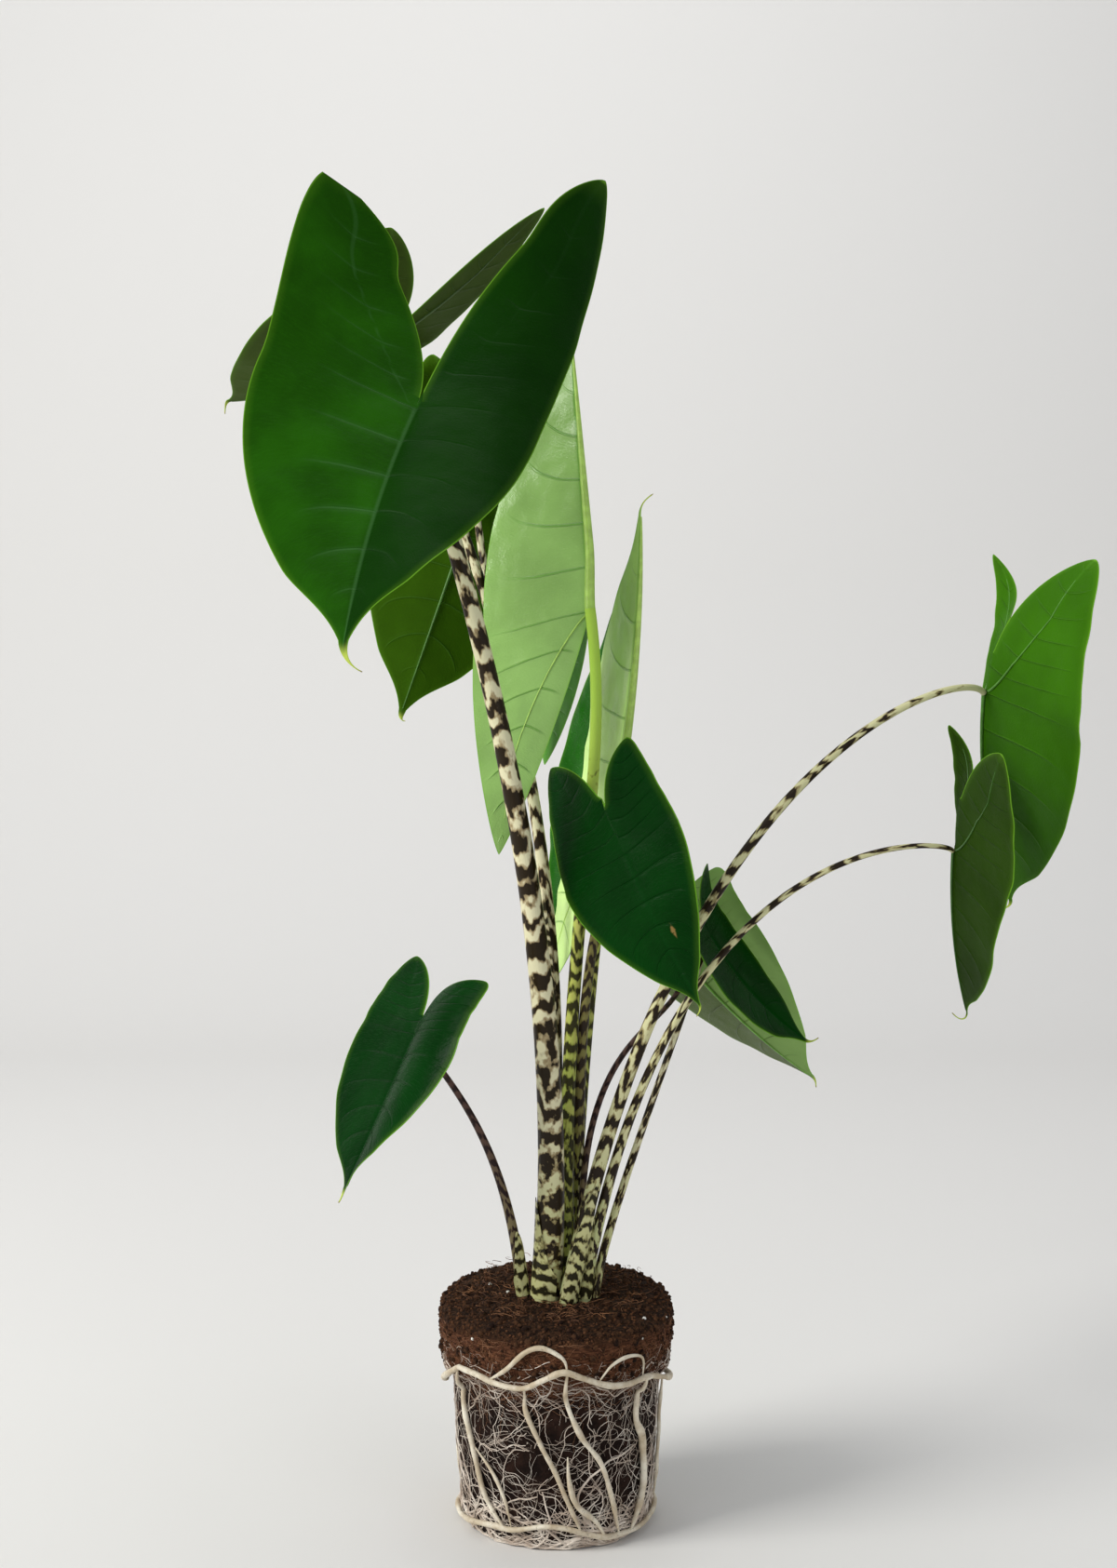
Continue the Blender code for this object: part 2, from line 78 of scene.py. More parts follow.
# ---- thick roots: radius, whether it closes on itself, waypoints (azimuth, height)
ROOT_GAP = 0.5
ROOTS = {
    "collar": (2.1, True, ((-52, 105), (-40, 104), (-30, 101), (-16, 100), (-6, 106), (3, 111),
                           (12, 107), (24, 101), (36, 99), (50, 100), (66, 94), (90, 86),
                           (120, 84), (150, 80), (180, 84), (210, 80), (240, 83), (275, 86))),
    "loop": (1.6, False, ((-35, 101), (-24, 110), (-14, 122), (-6, 125), (3, 119), (5, 111))),
    "arch": (1.3, False, ((20, 102), (26, 112), (35, 116), (44, 113), (46, 101))),
    "foot": (1.9, True, ((-76, 6), (-56, 9), (-38, 12), (-25, 12), (-8, 16), (5, 15), (16, 11),
                         (29, 7), (43, 6), (60, 6), (90, 9), (120, 6), (150, 9), (180, 6),
                         (210, 9), (240, 6), (265, 7))),
    "left_run": (2.0, False, ((-54, 104), (-58, 82), (-51, 56), (-43, 29), (-30, 12))),
    "left_inner": (1.3, False, ((-50, 56), (-38, 45), (-30, 30), (-26, 13))),
    "left_middle": (1.8, False, ((-15, 100), (-16, 86), (-8, 65), (-1, 50), (5, 34), (14, 12))),
    "middle": (2.0, False, ((6, 58), (7, 43), (11, 29), (22, 18), (28, 8))),
    "right_middle": (1.9, False, ((5, 110), (5, 92), (13, 70), (24, 53), (31, 33), (38, 7))),
    "right_run": (2.5, False, ((48, 99), (46, 76), (52, 60), (56, 30), (47, 7))),
    "side_right": (1.5, False, ((88, 87), (94, 62), (86, 40), (92, 9))),
    "back_right": (1.8, False, ((134, 83), (126, 58), (136, 34), (130, 8))),
    "back_left": (1.7, False, ((200, 82), (208, 56), (198, 34), (206, 8))),
    "side_left": (1.5, False, ((258, 85), (250, 60), (260, 36), (254, 7))),
}
ROOT_STEP = 2.0
ROOT_SIDES = 12

# ---- blades and stalks
SOLID_BLADE = 1.1  # thickness of the solid blade, from which the stalk's end is worked out
BLADE_THICK = 0.8
JOINT_GAP = 0.35
SINK = 0.9  # how far a stalk's end goes into its blade
SOIL_ENTRY = 137.0
HOLE_DEPTH = 24.0
HOLE_GAP = 0.45
STALK_SIDES = 20
STALK_RINGS = 120
LOBE_ROWS = 40
FRONT_ROWS = 56
COLUMNS = 22


# what a leaf has unless it says otherwise; pairs are for the right and the left half, seen
# from the stalk, and the drip tip's two points lie in mm from the blade's tip
PLAIN_LEAF = dict(width=(0.45, 0.45), lobes=(0.75, 0.75), spread=(0.4, 0.4), droop=0, sway=0,
                  lift=(0, 0), twist=0, fold=(15, 15), cup=(0, 0), tip=(1.0, 1.0),
                  lobe_shape=(2.4, 0.65, 2.0), web=0.2, tail=((0, 0, -2), (0, 0, -4)),
                  pinch=(0.74, 0.45), waist=0.0, fill=(0, 0), cut=(0, 0), look="green",
                  stalk="zebra")


def leaf(length, **own):
    """One leaf, as the solids have it, with the finer form of its margins: the row from which
    it narrows to its drip tip and by how much, how far the margins curl in at the middle, how
    far each lobe's inner margin is filled out near its end, and how much of it is cut off."""
    data = {**PLAIN_LEAF, **own, "length": length * MM}
    for name, shares in (("half_width", "width"), ("lobe_length", "lobes"),
                         ("lobe_spread", "spread")):
        data[name] = [length * MM * share for share in data[shares]]
    for name in ("junction", "tail"):
        data[name] = np.array(data[name]) * MM
    return data


LEAVES = {
    "front": leaf(
        junction=(-82, -70, 671), aim=(-23, -50, -17), length=190,
        foot=(-6, -6), bow=((10, -30, 350), (-45, -55, 550)), thickness=(9.5, 4.5),
        width=(0.5, 0.4), lobes=(0.66, 1.1), spread=(0.55, 0.4), sway=-12, lift=(5, 30),
        twist=-22, cup=(0, -55), lobe_shape=(1.6, 0.65, 2), web=0.03,
        tail=((1, 0, -7), (10, 0, -11)), look="front", fill=(0.55, 0.35), cut=(0.035, 0)),
    "behind": leaf(
        junction=(-121, 80, 744), aim=(-128, -20, -5), length=145,
        foot=(-8, 14), bow=((25, 15, 440), (-60, 15, 640)), thickness=(5.5, 2.8),
        width=(0.35, 0.5), lobes=(0.9, 0.6), spread=(0.5, 0.3), droop=-25, lift=(40, 35),
        fold=(5, 20), tail=((-1, 0, -2), (-1, 0, -9)), look="shade"),
    "hanging": leaf(
        junction=(-56, 130, 648), aim=(-100, -70, 80), length=158,
        foot=(-2, 24), bow=((4, 50, 340), (-38, 95, 500)), thickness=(4.5, 2.5),
        lobes=(0.4, 0.55), spread=(0.3, 0.4), fold=(10, 10), tail=((0, 0, -3), (4, 0, -3)),
        look="hanging"),
    "pale": leaf(
        junction=(21, 0, 560), aim=(-140, 84, 140), length=180,
        foot=(5, 10), bow=((5, 5, 400), (35, 0, 450)), thickness=(5, 3.4),
        width=(0.38, 0.38), lobes=(0.82, 0.5), spread=(0.37, 0.3), twist=20,
        fold=(12, 110), lobe_shape=(0.55, 0.8, 1.0), web=0.02, tail=((0, 0, 2), (0, 0, 4)),
        look="pale", stalk="young"),
    "rolled": leaf(
        junction=(34, 20, 435), aim=(45, 75, -15), length=195,
        foot=(9, 24), bow=((15, 30, 255), (25, 30, 375)), thickness=(4.2, 3.4),
        width=(0.5, 0.6), lobes=(0.75, 0.5), droop=-20, fold=(104, 65), cup=(5, 25),
        tail=((2, 0, 3), (8, 0, 7)), look="rolled", stalk="young"),
    "mid": leaf(
        junction=(40, -65, 411), aim=(45, -60, 70), length=100,
        foot=(16, 12), bow=((10, 25, 260), (18, 10, 385)), thickness=(4.3, 2.6),
        width=(0.55, 0.42), lobes=(0.85, 0.65), spread=(0.37, 0.43), droop=25, lift=(-10, 40),
        twist=10, fold=(-20, 10), tip=(1.2, 1.0), web=0.45, tail=((-1, 0, -2), (-3, 0, -5)),
        look="dark", stalk="olive_young"),
    "glossy": leaf(
        junction=(100, 50, 354), aim=(95, -60, 5), length=95,
        foot=(24, -5), bow=((28, 0, 180), (90, 40, 320)), thickness=(3, 1.8),
        width=(0.5, 0.5), lobes=(0.75, 0.5), spread=(0.37, 0.37), droop=-25, lift=(0, 40),
        twist=-5, fold=(-15, 20), tip=(0.9, 1.2), tail=((3, 0, 0), (7, 0, 3)),
        look="small"),
    "olive": leaf(
        junction=(92, 130, 328), aim=(85, -50, -45), length=120,
        foot=(17, 3), bow=((5, 5, 310), (78, 80, 280)), thickness=(2.5, 1.7),
        width=(0.5, 0.5), lobes=(0.5, 0.75), droop=-20, lift=(40, 0), twist=-10, fold=(20, 15),
        tail=((1, 0, -2), (1, 0, -6)), look="olive", stalk="brown"),
    "right_high": leaf(
        junction=(267, 0, 510), aim=(180, -67, 73), length=157,
        foot=(7, -15), bow=((70, -45, 475), (245, -30, 525)), thickness=(5.5, 2.0),
        width=(0.6, 0.25), lobes=(0.65, 0.5), spread=(0.35, 0.45), droop=-25, lift=(40, 25),
        twist=10, fold=(5, 55), cup=(0, -55), tip=(1.0, 0.9), web=0.25,
        tail=((-1, 0, -3), (-8, 0, -4)), stalk="arching"),
    "right_low": leaf(
        junction=(240, -35, 413), aim=(175, -60, 80), length=128,
        foot=(17, -10), bow=((65, -45, 435), (230, -45, 420)), thickness=(4, 1.5),
        width=(0.6, 0.4), lobes=(0.7, 0.4), spread=(0.35, 0.55), droop=-15, lift=(5, 10),
        twist=5, fold=(10, 40), cup=(0, -55), tip=(1.3, 1.3), web=0.4,
        tail=((-3, 0, -6), (-10, 0, 2)), pinch=(0.80, 0.45), waist=0.24, look="shaded",
        stalk="arching"),
    "left_low": leaf(
        junction=(-84, -50, 304), aim=(-50, -60, 20), length=100,
        foot=(-21, -4), bow=((-30, -20, 240), (-67, -40, 275)), thickness=(4, 1.5),
        width=(0.6, 0.55), lobes=(0.5, 0.4), spread=(0.35, 0.5), lift=(0, -15), cup=(5, -55),
        tip=(1.0, 1.3), web=0.25, tail=((-1, 0, -3), (-3, 0, -6)),
        look="dark", stalk="brown"),
}


# ---- shape functions shared with the solids
def bezier(points, t):
    a, b, c, d = (np.asarray(p, float) for p in points)
    t = np.asarray(t, float)[:, None]
    return (1 - t) ** 3 * a + 3 * t * (1 - t) ** 2 * b + 3 * t * t * (1 - t) * c + t ** 3 * d


def smooth_path(points, step):
    """Catmull-Rom curve through the points, with a sample about every step."""
    pts = np.asarray(points, float)
    last = len(pts) - 1
    out = []
    for i in range(last):
        p0, p1, p2, p3 = (pts[min(max(i + k, 0), last)] for k in (-1, 0, 1, 2))
        count = max(1, round(float(np.linalg.norm(p2 - p1)) / step))
        for t in np.arange(count) / count:
            out.append(0.5 * (2 * p1 + (p2 - p0) * t + (2 * p0 - 5 * p1 + 4 * p2 - p3) * t ** 2
                              + (3 * p1 - p0 - 3 * p2 + p3) * t ** 3))
    return np.array(out + [pts[-1]])


def midrib_frame(aim):
    """Unit vectors along the midrib, up from the blade's upper face, and to its right."""
    heading, pitch, roll = (math.radians(a) for a in aim)
    ahead = np.array([math.sin(heading) * math.cos(pitch), -math.cos(heading) * math.cos(pitch),
                      math.sin(pitch)])
    up = np.array([0, 0, 1.0]) - ahead * ahead[2]
    up /= np.linalg.norm(up)
    right = np.cross(ahead, up)
    up = up * math.cos(roll) + right * math.sin(roll)
    return ahead, up, np.cross(ahead, up)


def arc(angle, share):
    """How far along and how far aside a bend of this whole angle has come."""
    angle = angle if abs(angle) > 1e-6 else 1e-6
    return np.sin(angle * share) / angle, (1 - np.cos(angle * share)) / angle


def margins(data, side, row):
    """Inner and outer margin at a row: -1 is the lobe's end, 0 the junction, 1 the tip."""
    width, spread = data["half_width"][side], data["lobe_spread"][side]
    sharp, full = data["tip"]
    turn, rounding, fatness = data["lobe_shape"]
    ahead, behind = np.clip(row, 0, 1), np.clip(-row, 0, 1)
    front = width * (1 - ahead) ** sharp * (1 + full * ahead)
    centre = width / 2 + (spread - width / 2) * behind ** turn
    chord = width / 2 * (1 - behind ** fatness) ** rounding
    opening = np.clip((behind - data["web"]) / (1 - data["web"]), 0, 1) ** 0.35
    return (np.where(row >= 0, 0, (centre - chord) * opening),
            np.where(row >= 0, front, centre + chord))


def blade_point(data, side, row, share):
    """Point of the blade's middle surface; share runs from the inner to the outer margin."""
    row, share = np.broadcast_arrays(np.asarray(row, float), np.asarray(share, float))
    ahead, up, right = midrib_frame(data["aim"])
    sign = 1 - 2 * side
    inner, outer = margins(data, side, row)
    reach = inner + (outer - inner) * share
    front, behind = np.clip(row, 0, 1), np.clip(-row, 0, 1)
    droop, lift = math.radians(data["droop"]), math.radians(data["lift"][side])
    front_along, front_down = arc(droop, front)
    lobe_along, lobe_up = arc(lift, behind)
    along = np.where(row >= 0, data["length"] * front_along,
                     -data["lobe_length"][side] * lobe_along)
    rise = np.where(row >= 0, -data["length"] * front_down, data["lobe_length"][side] * lobe_up)
    aside = np.where(row >= 0, data["length"] * math.radians(data["sway"]) * front ** 2 / 2, 0)
    bend = np.where(row >= 0, -droop * front, -lift * behind)[..., None]
    local_up = up * np.cos(bend) - ahead * np.sin(bend)
    twist = (math.radians(data["twist"]) * row)[..., None]
    local_right = right * np.cos(twist) + local_up * np.sin(twist)
    local_up = local_up * np.cos(twist) - right * np.sin(twist)
    fold, cup = math.radians(data["fold"][side]), math.radians(data["cup"][side])
    width = data["half_width"][side]
    flat, curl = arc(cup, reach / width)
    out = width * (flat * math.cos(fold) - curl * math.sin(fold))
    high = width * (flat * math.sin(fold) + curl * math.cos(fold))
    return (data["junction"] + ahead * along[..., None] + up * rise[..., None]
            + right * aside[..., None] + local_right * (sign * out)[..., None]
            + local_up * high[..., None])


def stalk_curve(data, count):
    """Centre line of a stalk, from the bottom of its hole to the underside of its blade."""
    ahead, up, right = midrib_frame(data["aim"])
    x, y = data["foot"]
    radius_end = data["thickness"][1]
    pulls = [np.array(p) * MM for p in data["bow"]]
    arrival = data["junction"] - pulls[1]
    arrival /= np.linalg.norm(arrival)
    sag = math.tan(math.radians(max(0, -min(data["fold"]))))
    edge = radius_end * (math.sqrt(max(0.0, 1 - (arrival @ up) ** 2)) + sag)
    end = data["junction"] - up * (edge + SOLID_BLADE / 2 + JOINT_GAP) * MM
    start = np.array([x, y, SOIL_ENTRY]) * MM
    leaning = bezier((start, pulls[0], pulls[1], end), np.linspace(0, 1, count))
    bottom = BALL_TOP[0][1] - HOLE_DEPTH + HOLE_GAP
    buried = [np.array([x, y, bottom]) * MM, np.array([x, y, BALL_TOP[0][1] - 6]) * MM]
    return np.vstack([buried, leaning])


def relief(point, scale, height):
    """Seedless, smooth lumps: the same at the same place each time."""
    return height * noise.noise(Vector(point) / (scale * MM))


def around(azimuth, radius):
    """x and y at an azimuth in radians from the front, to the right."""
    return radius * math.sin(azimuth), -radius * math.cos(azimuth)


def step_shift(azimuth, height):
    weight = float(np.interp(height, STEP_BAND, (0, 1, 1, 0)))
    return STEP_RISE * weight * max(0.0, math.cos(azimuth)) ** STEP_BAND_FALL


def body_radius(azimuth, height):
    line = [(h + step_shift(azimuth, h), r) for r, h in reversed(BALL_RIM + BALL_BODY)]
    return float(np.interp(height, [h for h, _ in line], [r for _, r in line]))


def lumps(x, y, height):
    return relief((x * MM, y * MM, height * MM), LUMP_SIZE, BALL_RELIEF)


def ball_point(azimuth, radius, height):
    """Point on the lumpy outside of the ball."""
    if radius > FOOT_RADIUS and height < TOP_HEIGHT:
        height += step_shift(azimuth, height)
    x, y = around(azimuth, radius)
    grow = 1 + lumps(x, y, height) / max(radius, 20) if height > 1 else 1
    lift = 0
    if height > TILT_HEIGHT:
        lift = (TOP_TILT * (1 - math.cos(azimuth)) * min(1, radius / TILT_RADIUS)
                * min(1, (height - TILT_HEIGHT) / TILT_BLEND))
    if height > TOP_HEIGHT:
        lift += relief((x * MM + 1, y * MM, 0), TOP_LUMP_SIZE, BALL_RELIEF)
    return np.array([x * grow, y * grow, height + lift]) * MM


def side_point(azimuth, height, out):
    """Point that lies out mm clear of the ball's side."""
    radius = body_radius(azimuth, height)
    radius += lumps(*around(azimuth, radius), height) + out
    return np.array([*around(azimuth, radius), height]) * MM


def root_point(azimuth, height, radius):
    """Centre of a root that lies on the ball, clear of the lumps round it."""
    near = [body_radius(azimuth, height + k * radius) for k in (-2, -1, 0, 1, 2)]
    out = max(near) + radius + ROOT_GAP
    out += max(0.0, lumps(*around(azimuth, out), height))
    return np.array([*around(azimuth, out), height]) * MM


# ---- building blocks for finishes and geometry trees
def put(tree, value, socket):
    """Link a socket to this one, or set a constant on it."""
    if isinstance(value, bpy.types.NodeSocket):
        tree.links.new(value, socket)
    elif isinstance(value, tuple) and len(value) == 3 and len(socket.default_value) == 4:
        socket.default_value = (*value, 1)
    else:
        socket.default_value = value


def add_node(tree, kind, inputs=(), **properties):
    """Add a node, with its inputs given by name or number; returns its outputs."""
    node = tree.nodes.new(kind)
    for name, value in properties.items():
        setattr(node, name, value)
    for key, value in dict(inputs).items():
        put(tree, value, node.inputs[key])
    return node.outputs


class Finish:
    """A Principled material and short calls for its nodes."""

    def __init__(self, name, roughness=0.5, **constants):
        self.material = bpy.data.materials.new(name)
        self.material.use_nodes = True
        self.tree = self.material.node_tree
        self.shader = self.tree.nodes["Principled BSDF"]
        self.shader.inputs["Roughness"].default_value = roughness
        for socket, value in constants.items():
            self.shader.inputs[socket.replace("_", " ")].default_value = value

    def node(self, kind, inputs=(), **properties):
        return add_node(self.tree, "ShaderNode" + kind, inputs, **properties)

    def attribute(self, name, output="Fac"):
        return self.node("Attribute", attribute_name=name)[output]

    def place(self):
        return self.node("TexCoord")["Object"]

    def math(self, operation, *values):
        return self.node("Math", enumerate(values), operation=operation)[0]

    def times(self, first, *others):
        for value in others:
            first = self.math("MULTIPLY", first, value)
        return first

    def plus(self, a, b):
        return self.math("ADD", a, b)

    def minus(self, a, b):
        return self.math("SUBTRACT", a, b)

    def scaled(self, value, factor, offset):
        return self.math("MULTIPLY_ADD", value, factor, offset)

    def vector(self, *values):
        return self.node("CombineXYZ", enumerate(values))[0]

    def split(self, vector):
        return self.node("SeparateXYZ", {0: vector})

    def noise(self, vector, scale, detail=3.0, rough=0.5):
        return self.node("TexNoise", {"Vector": vector, "Scale": scale, "Detail": detail,
                                      "Roughness": rough})["Fac"]

    def cells(self, vector, scale):
        return self.node("TexVoronoi", {"Vector": vector, "Scale": scale})["Distance"]

    def between(self, value, low, high, start=0.0, end=1.0):
        """Smooth step of a value from start at low to end at high."""
        return self.node("MapRange", enumerate((value, low, high, start, end)),
                         interpolation_type="SMOOTHSTEP")[0]

    def blend(self, share, first, second):
        """Colour between the first and the second; 6, 7 and 2 are the node's colour sockets."""
        return self.node("Mix", {0: share, 6: first, 7: second}, data_type="RGBA")[2]

    def bump(self, height, distance, strength=1.0, under=None):
        inputs = {"Height": height, "Distance": distance, "Strength": strength}
        if under is not None:
            inputs["Normal"] = under
        return self.node("Bump", inputs)[0]

    def done(self, colour, rough=None, normal=None):
        for label, value in (("Base Color", colour), ("Roughness", rough), ("Normal", normal)):
            if value is not None:
                put(self.tree, value, self.shader.inputs[label])
        return self.material


def toned(colour, factor):
    return tuple(min(1, c * factor) for c in colour)


# ---- leaf finishes: upper face, underside, veins above and below, roughness above and below,
# ---- how far the midrib shows above, the laterals above and below, and the lobe ribs
LEAF_LOOKS = {
    "front": ((0.013, 0.080, 0.002), (0.05, 0.17, 0.02), (0.065, 0.18, 0.055), (0.16, 0.30, 0.06),
              0.34, 0.45, 0.42, 0.42, 0.5, 0.40),
    "green": ((0.010, 0.060, 0.003), (0.038, 0.150, 0.003), (0.05, 0.20, 0.02),
              (0.11, 0.32, 0.03), 0.36, 0.45, 0.3, 0.4, 0.25, 0.6),
    "shaded": ((0.012, 0.060, 0.003), (0.020, 0.052, 0.003), (0.05, 0.20, 0.02),
               (0.05, 0.14, 0.02), 0.36, 0.45, 0.3, 0.4, 0.25, 0.6),
    "hanging": ((0.012, 0.060, 0.003), (0.032, 0.090, 0.003), (0.05, 0.20, 0.02),
                (0.07, 0.19, 0.03), 0.36, 0.45, 0.3, 0.4, 0.25, 0.6),
    "shade": ((0.008, 0.050, 0.005), (0.050, 0.085, 0.014), (0.04, 0.12, 0.03),
              (0.09, 0.16, 0.05), 0.38, 0.5, 0.3, 0.4, 0.4, 0.5),
    "dark": ((0.0010, 0.030, 0.002), (0.030, 0.110, 0.015), (0.002, 0.040, 0.004),
             (0.08, 0.2, 0.05), 0.27, 0.42, 0.4, 0.2, 0.4, 0.35),
    "small": ((0.0015, 0.034, 0.002), (0.030, 0.120, 0.015), (0.004, 0.052, 0.006),
              (0.08, 0.2, 0.05), 0.24, 0.42, 0.5, 0.25, 0.4, 0.35),
    "pale": ((0.09, 0.34, 0.02), (0.29, 0.50, 0.14), (0.20, 0.46, 0.10), (0.16, 0.38, 0.06),
             0.34, 0.24, 0.3, 0.4, 0.85, 0.06),
    # the rolled underside's colour is partly its own pale green and partly painted glow of light
    # shining through the thin blade
    "rolled": ((0.010, 0.110, 0.002), (0.60, 0.86, 0.29), (0.08, 0.30, 0.04),
               (0.26, 0.52, 0.10), 0.24, 0.32, 0.3, 0.3, 0.8, 0.06),
    # the olive underside's colour is partly its own and partly painted light and sheen, as if in
    # direct light
    "olive": ((0.10, 0.25, 0.05), (0.240, 0.400, 0.120), (0.14, 0.32, 0.08), (0.07, 0.17, 0.02),
              0.26, 0.36, 0.3, 0.3, 0.4, 0.3),
}
YOUNG = ("pale", "rolled")  # looks of the leaves that have just opened
# second halves darkened with painted shade, as if turned away from the light: on the upper face or
# not, the shade's tone, how much of it
PAINTED_SHADE_HALF = {"front": (True, (0.002, 0.022, 0.001), 0.80),
               "olive": (False, (0.060, 0.100, 0.012), 0.92)}
# row, distance from the midrib in mm, half its height in rows, half its breadth in mm
SCARS = {"mid": (0.53, 8.0, 0.050, 1.7)}
SCAR_COLOUR = (0.22, 0.14, 0.045)
# how much each look reflects; the young leaves' undersides shine most
GLOSS = {"front": 0.03, "green": 0.04, "shaded": 0.02, "hanging": 0.02, "shade": 0.04,
         "dark": 0.06, "small": 0.005, "rolled": 0.06, "pale": 0.5, "olive": 0.10}
LEAF_IOR = 1.4
VEIN_REACH = (0.35, 0.95)  # where the laterals fade, as a share of the way to the margin
FRONT_REACH = (0.10, 0.70)
# pale margin line, partly its own colour and partly painted glow of light through the thin edge
PALE_MARGIN_AND_PAINTED_GLOW = (0.20, 0.48, 0.03)
TAIL_COLOUR = (0.50, 0.62, 0.10)
TAIL_END_COLOUR = (0.30, 0.12, 0.03)
RIB_COLOURS = {"front": (0.2, 0.36, 0.08), "green": (0.09, 0.27, 0.03),
               "dark": (0.08, 0.2, 0.05), "small": (0.08, 0.2, 0.05),
               "pale": (0.42, 0.66, 0.12), "rolled": (0.46, 0.70, 0.14),
               "olive": (0.18, 0.42, 0.06), "shade": (0.09, 0.15, 0.05),
               "shaded": (0.05, 0.15, 0.02), "hanging": (0.07, 0.20, 0.025)}


def lateral_lines(make, look, place, lateral, rib, edge, row):
    """Thin and wide lines where the lateral's number is whole; they fade near the margin."""
    shake = make.scaled(make.noise(place, 55, 2), 0.06, -0.03)
    number = make.math("FRACT", make.plus(lateral, shake))
    from_line = make.math("ABSOLUTE", make.minus(number, 0.5))
    out = make.math("DIVIDE", rib, make.plus(make.plus(rib, edge), 0.5))
    reach = FRONT_REACH if look == "front" else VEIN_REACH
    fade = make.times(make.between(out, *reach, 1.0, 0.0), make.between(edge, 1, 9),
                      make.between(row, 0.70, 0.84, 1.0, 0.0))
    if look == "front":
        fade = make.times(fade, make.between(row, -0.20, 0.0, 0.35, 1.0))
    return (make.times(make.between(from_line, 0.462, 0.494), fade),
            make.times(make.between(from_line, 0.36, 0.5), fade))


def scar_share(make, name, place, face, rib, row):
    """A small ragged scar on the upper face of one half."""
    scar_row, scar_rib, tall, broad = SCARS[name]
    far_row, far_rib = (make.math("DIVIDE", make.math("ABSOLUTE", make.minus(value, middle)), reach)
                        for value, middle, reach in ((row, scar_row, tall), (rib, scar_rib, broad)))
    return make.times(make.between(make.plus(far_row, far_rib), 0.5, 1.2, 1.0, 0.0),
                      make.between(make.noise(place, 500, 2), 0.32, 0.48), face,
                      make.between(make.attribute("half"), 0.4, 0.6))


def leaf_material(name, look):
    (upper, under, vein_above, vein_below, rough_above, rough_below,
     rib_above, lateral_above, lateral_below, lobe_rib) = LEAF_LOOKS[look]
    make = Finish("blade_" + name, 0.35, IOR=LEAF_IOR, Specular_IOR_Level=GLOSS[look])
    face, lateral, rib, edge, row = (make.attribute(label) for label in
                                     ("upper", "lateral", "rib", "edge", "row"))
    place = make.place()
    thin, wide = lateral_lines(make, look, place, lateral, rib, edge, row)
    # the midrib, and weaker the two ribs of the lobes
    midline = make.times(make.between(rib, 0.4, 2.0, 1.0, 0.0),
                         make.between(row, -0.02, 0.02, lobe_rib, 1.0))
    # fine grain that runs with the laterals
    grain = make.noise(make.vector(make.times(lateral, 22), make.times(rib, 0.10), row),
                       1.6, 4, 0.6)
    mottle = make.noise(place, 21, 3)
    # colours of the two faces
    top = make.blend(make.between(mottle, 0.35, 0.7), toned(upper, 0.78), toned(upper, 1.2))
    top = make.blend(make.times(make.between(grain, 0.45, 0.75), 0.25), top, toned(upper, 1.6))
    lines = make.math("MAXIMUM", thin, make.times(wide, 0.35))
    top = make.blend(make.times(lines, lateral_above), top, vein_above)
    top = make.blend(make.times(midline, rib_above), top, vein_above)
    low = make.blend(make.between(mottle, 0.3, 0.7), toned(under, 0.86), toned(under, 1.1))
    lines = make.math("MAXIMUM", thin, midline)
    low = make.blend(make.times(lines, lateral_below), low, vein_below)
    # the second half gets painted shade, darker as if turned away from the light
    if look in PAINTED_SHADE_HALF:
        on_top, deep, amount = PAINTED_SHADE_HALF[look]
        half = make.times(make.attribute("half"), amount)
        if on_top:
            top = make.blend(half, top, deep)
        else:
            low = make.blend(half, low, deep)
    colour = make.blend(face, low, top)
    if name in SCARS:
        colour = make.blend(scar_share(make, name, place, face, rib, row), colour, SCAR_COLOUR)
    # the margin's pale line, partly its own colour and partly painted glow of light through the
    # thin edge, and a wider painted glow inward from it; the drip tip and its dry end
    for value, low_end, high_end, start, end, tone in (
            (edge, 0.2, 1.0, 0.55, 0.0, PALE_MARGIN_AND_PAINTED_GLOW),
            (edge, 0.0, 6.0, 0.10, 0.0, PALE_MARGIN_AND_PAINTED_GLOW),
            (row, 0.965, 1.02, 0.0, 1.0, TAIL_COLOUR),
            (row, 1.06, 1.10, 0.0, 1.0, TAIL_END_COLOUR)):
        colour = make.blend(make.between(value, low_end, high_end, start, end), colour, tone)
    # gloss varies a little with the grain
    rough = make.plus(make.between(grain, 0.3, 0.8, -0.05, 0.07),
                      make.between(face, 0, 1, rough_below, rough_above))
    # relief: veins sunk above and thin ridges below, grain, a fine net and slow swells
    turn = make.between(face, 0, 1, -1.0, 0.7)
    veins = make.times(make.plus(thin, make.times(wide, 0.4)), turn)
    height = make.minus(make.times(grain, 0.22), veins)
    height = make.plus(height, make.times(make.cells(place, 620), 0.10))
    swell = make.bump(make.noise(place, 30, 2), 0.006 if look in YOUNG else 0.003, 0.6)
    return make.done(colour, rough, make.bump(height, 0.0009, 0.8, swell))


def rib_material(look):
    make = Finish("ribs_" + look, 0.38)
    streak = make.noise(make.place(), 160, 3)
    tone = RIB_COLOURS[look]
    colour = make.blend(make.between(streak, 0.35, 0.7), toned(tone, 0.85), toned(tone, 1.12))
    return make.done(colour, None, make.bump(streak, 0.0003, 0.5))


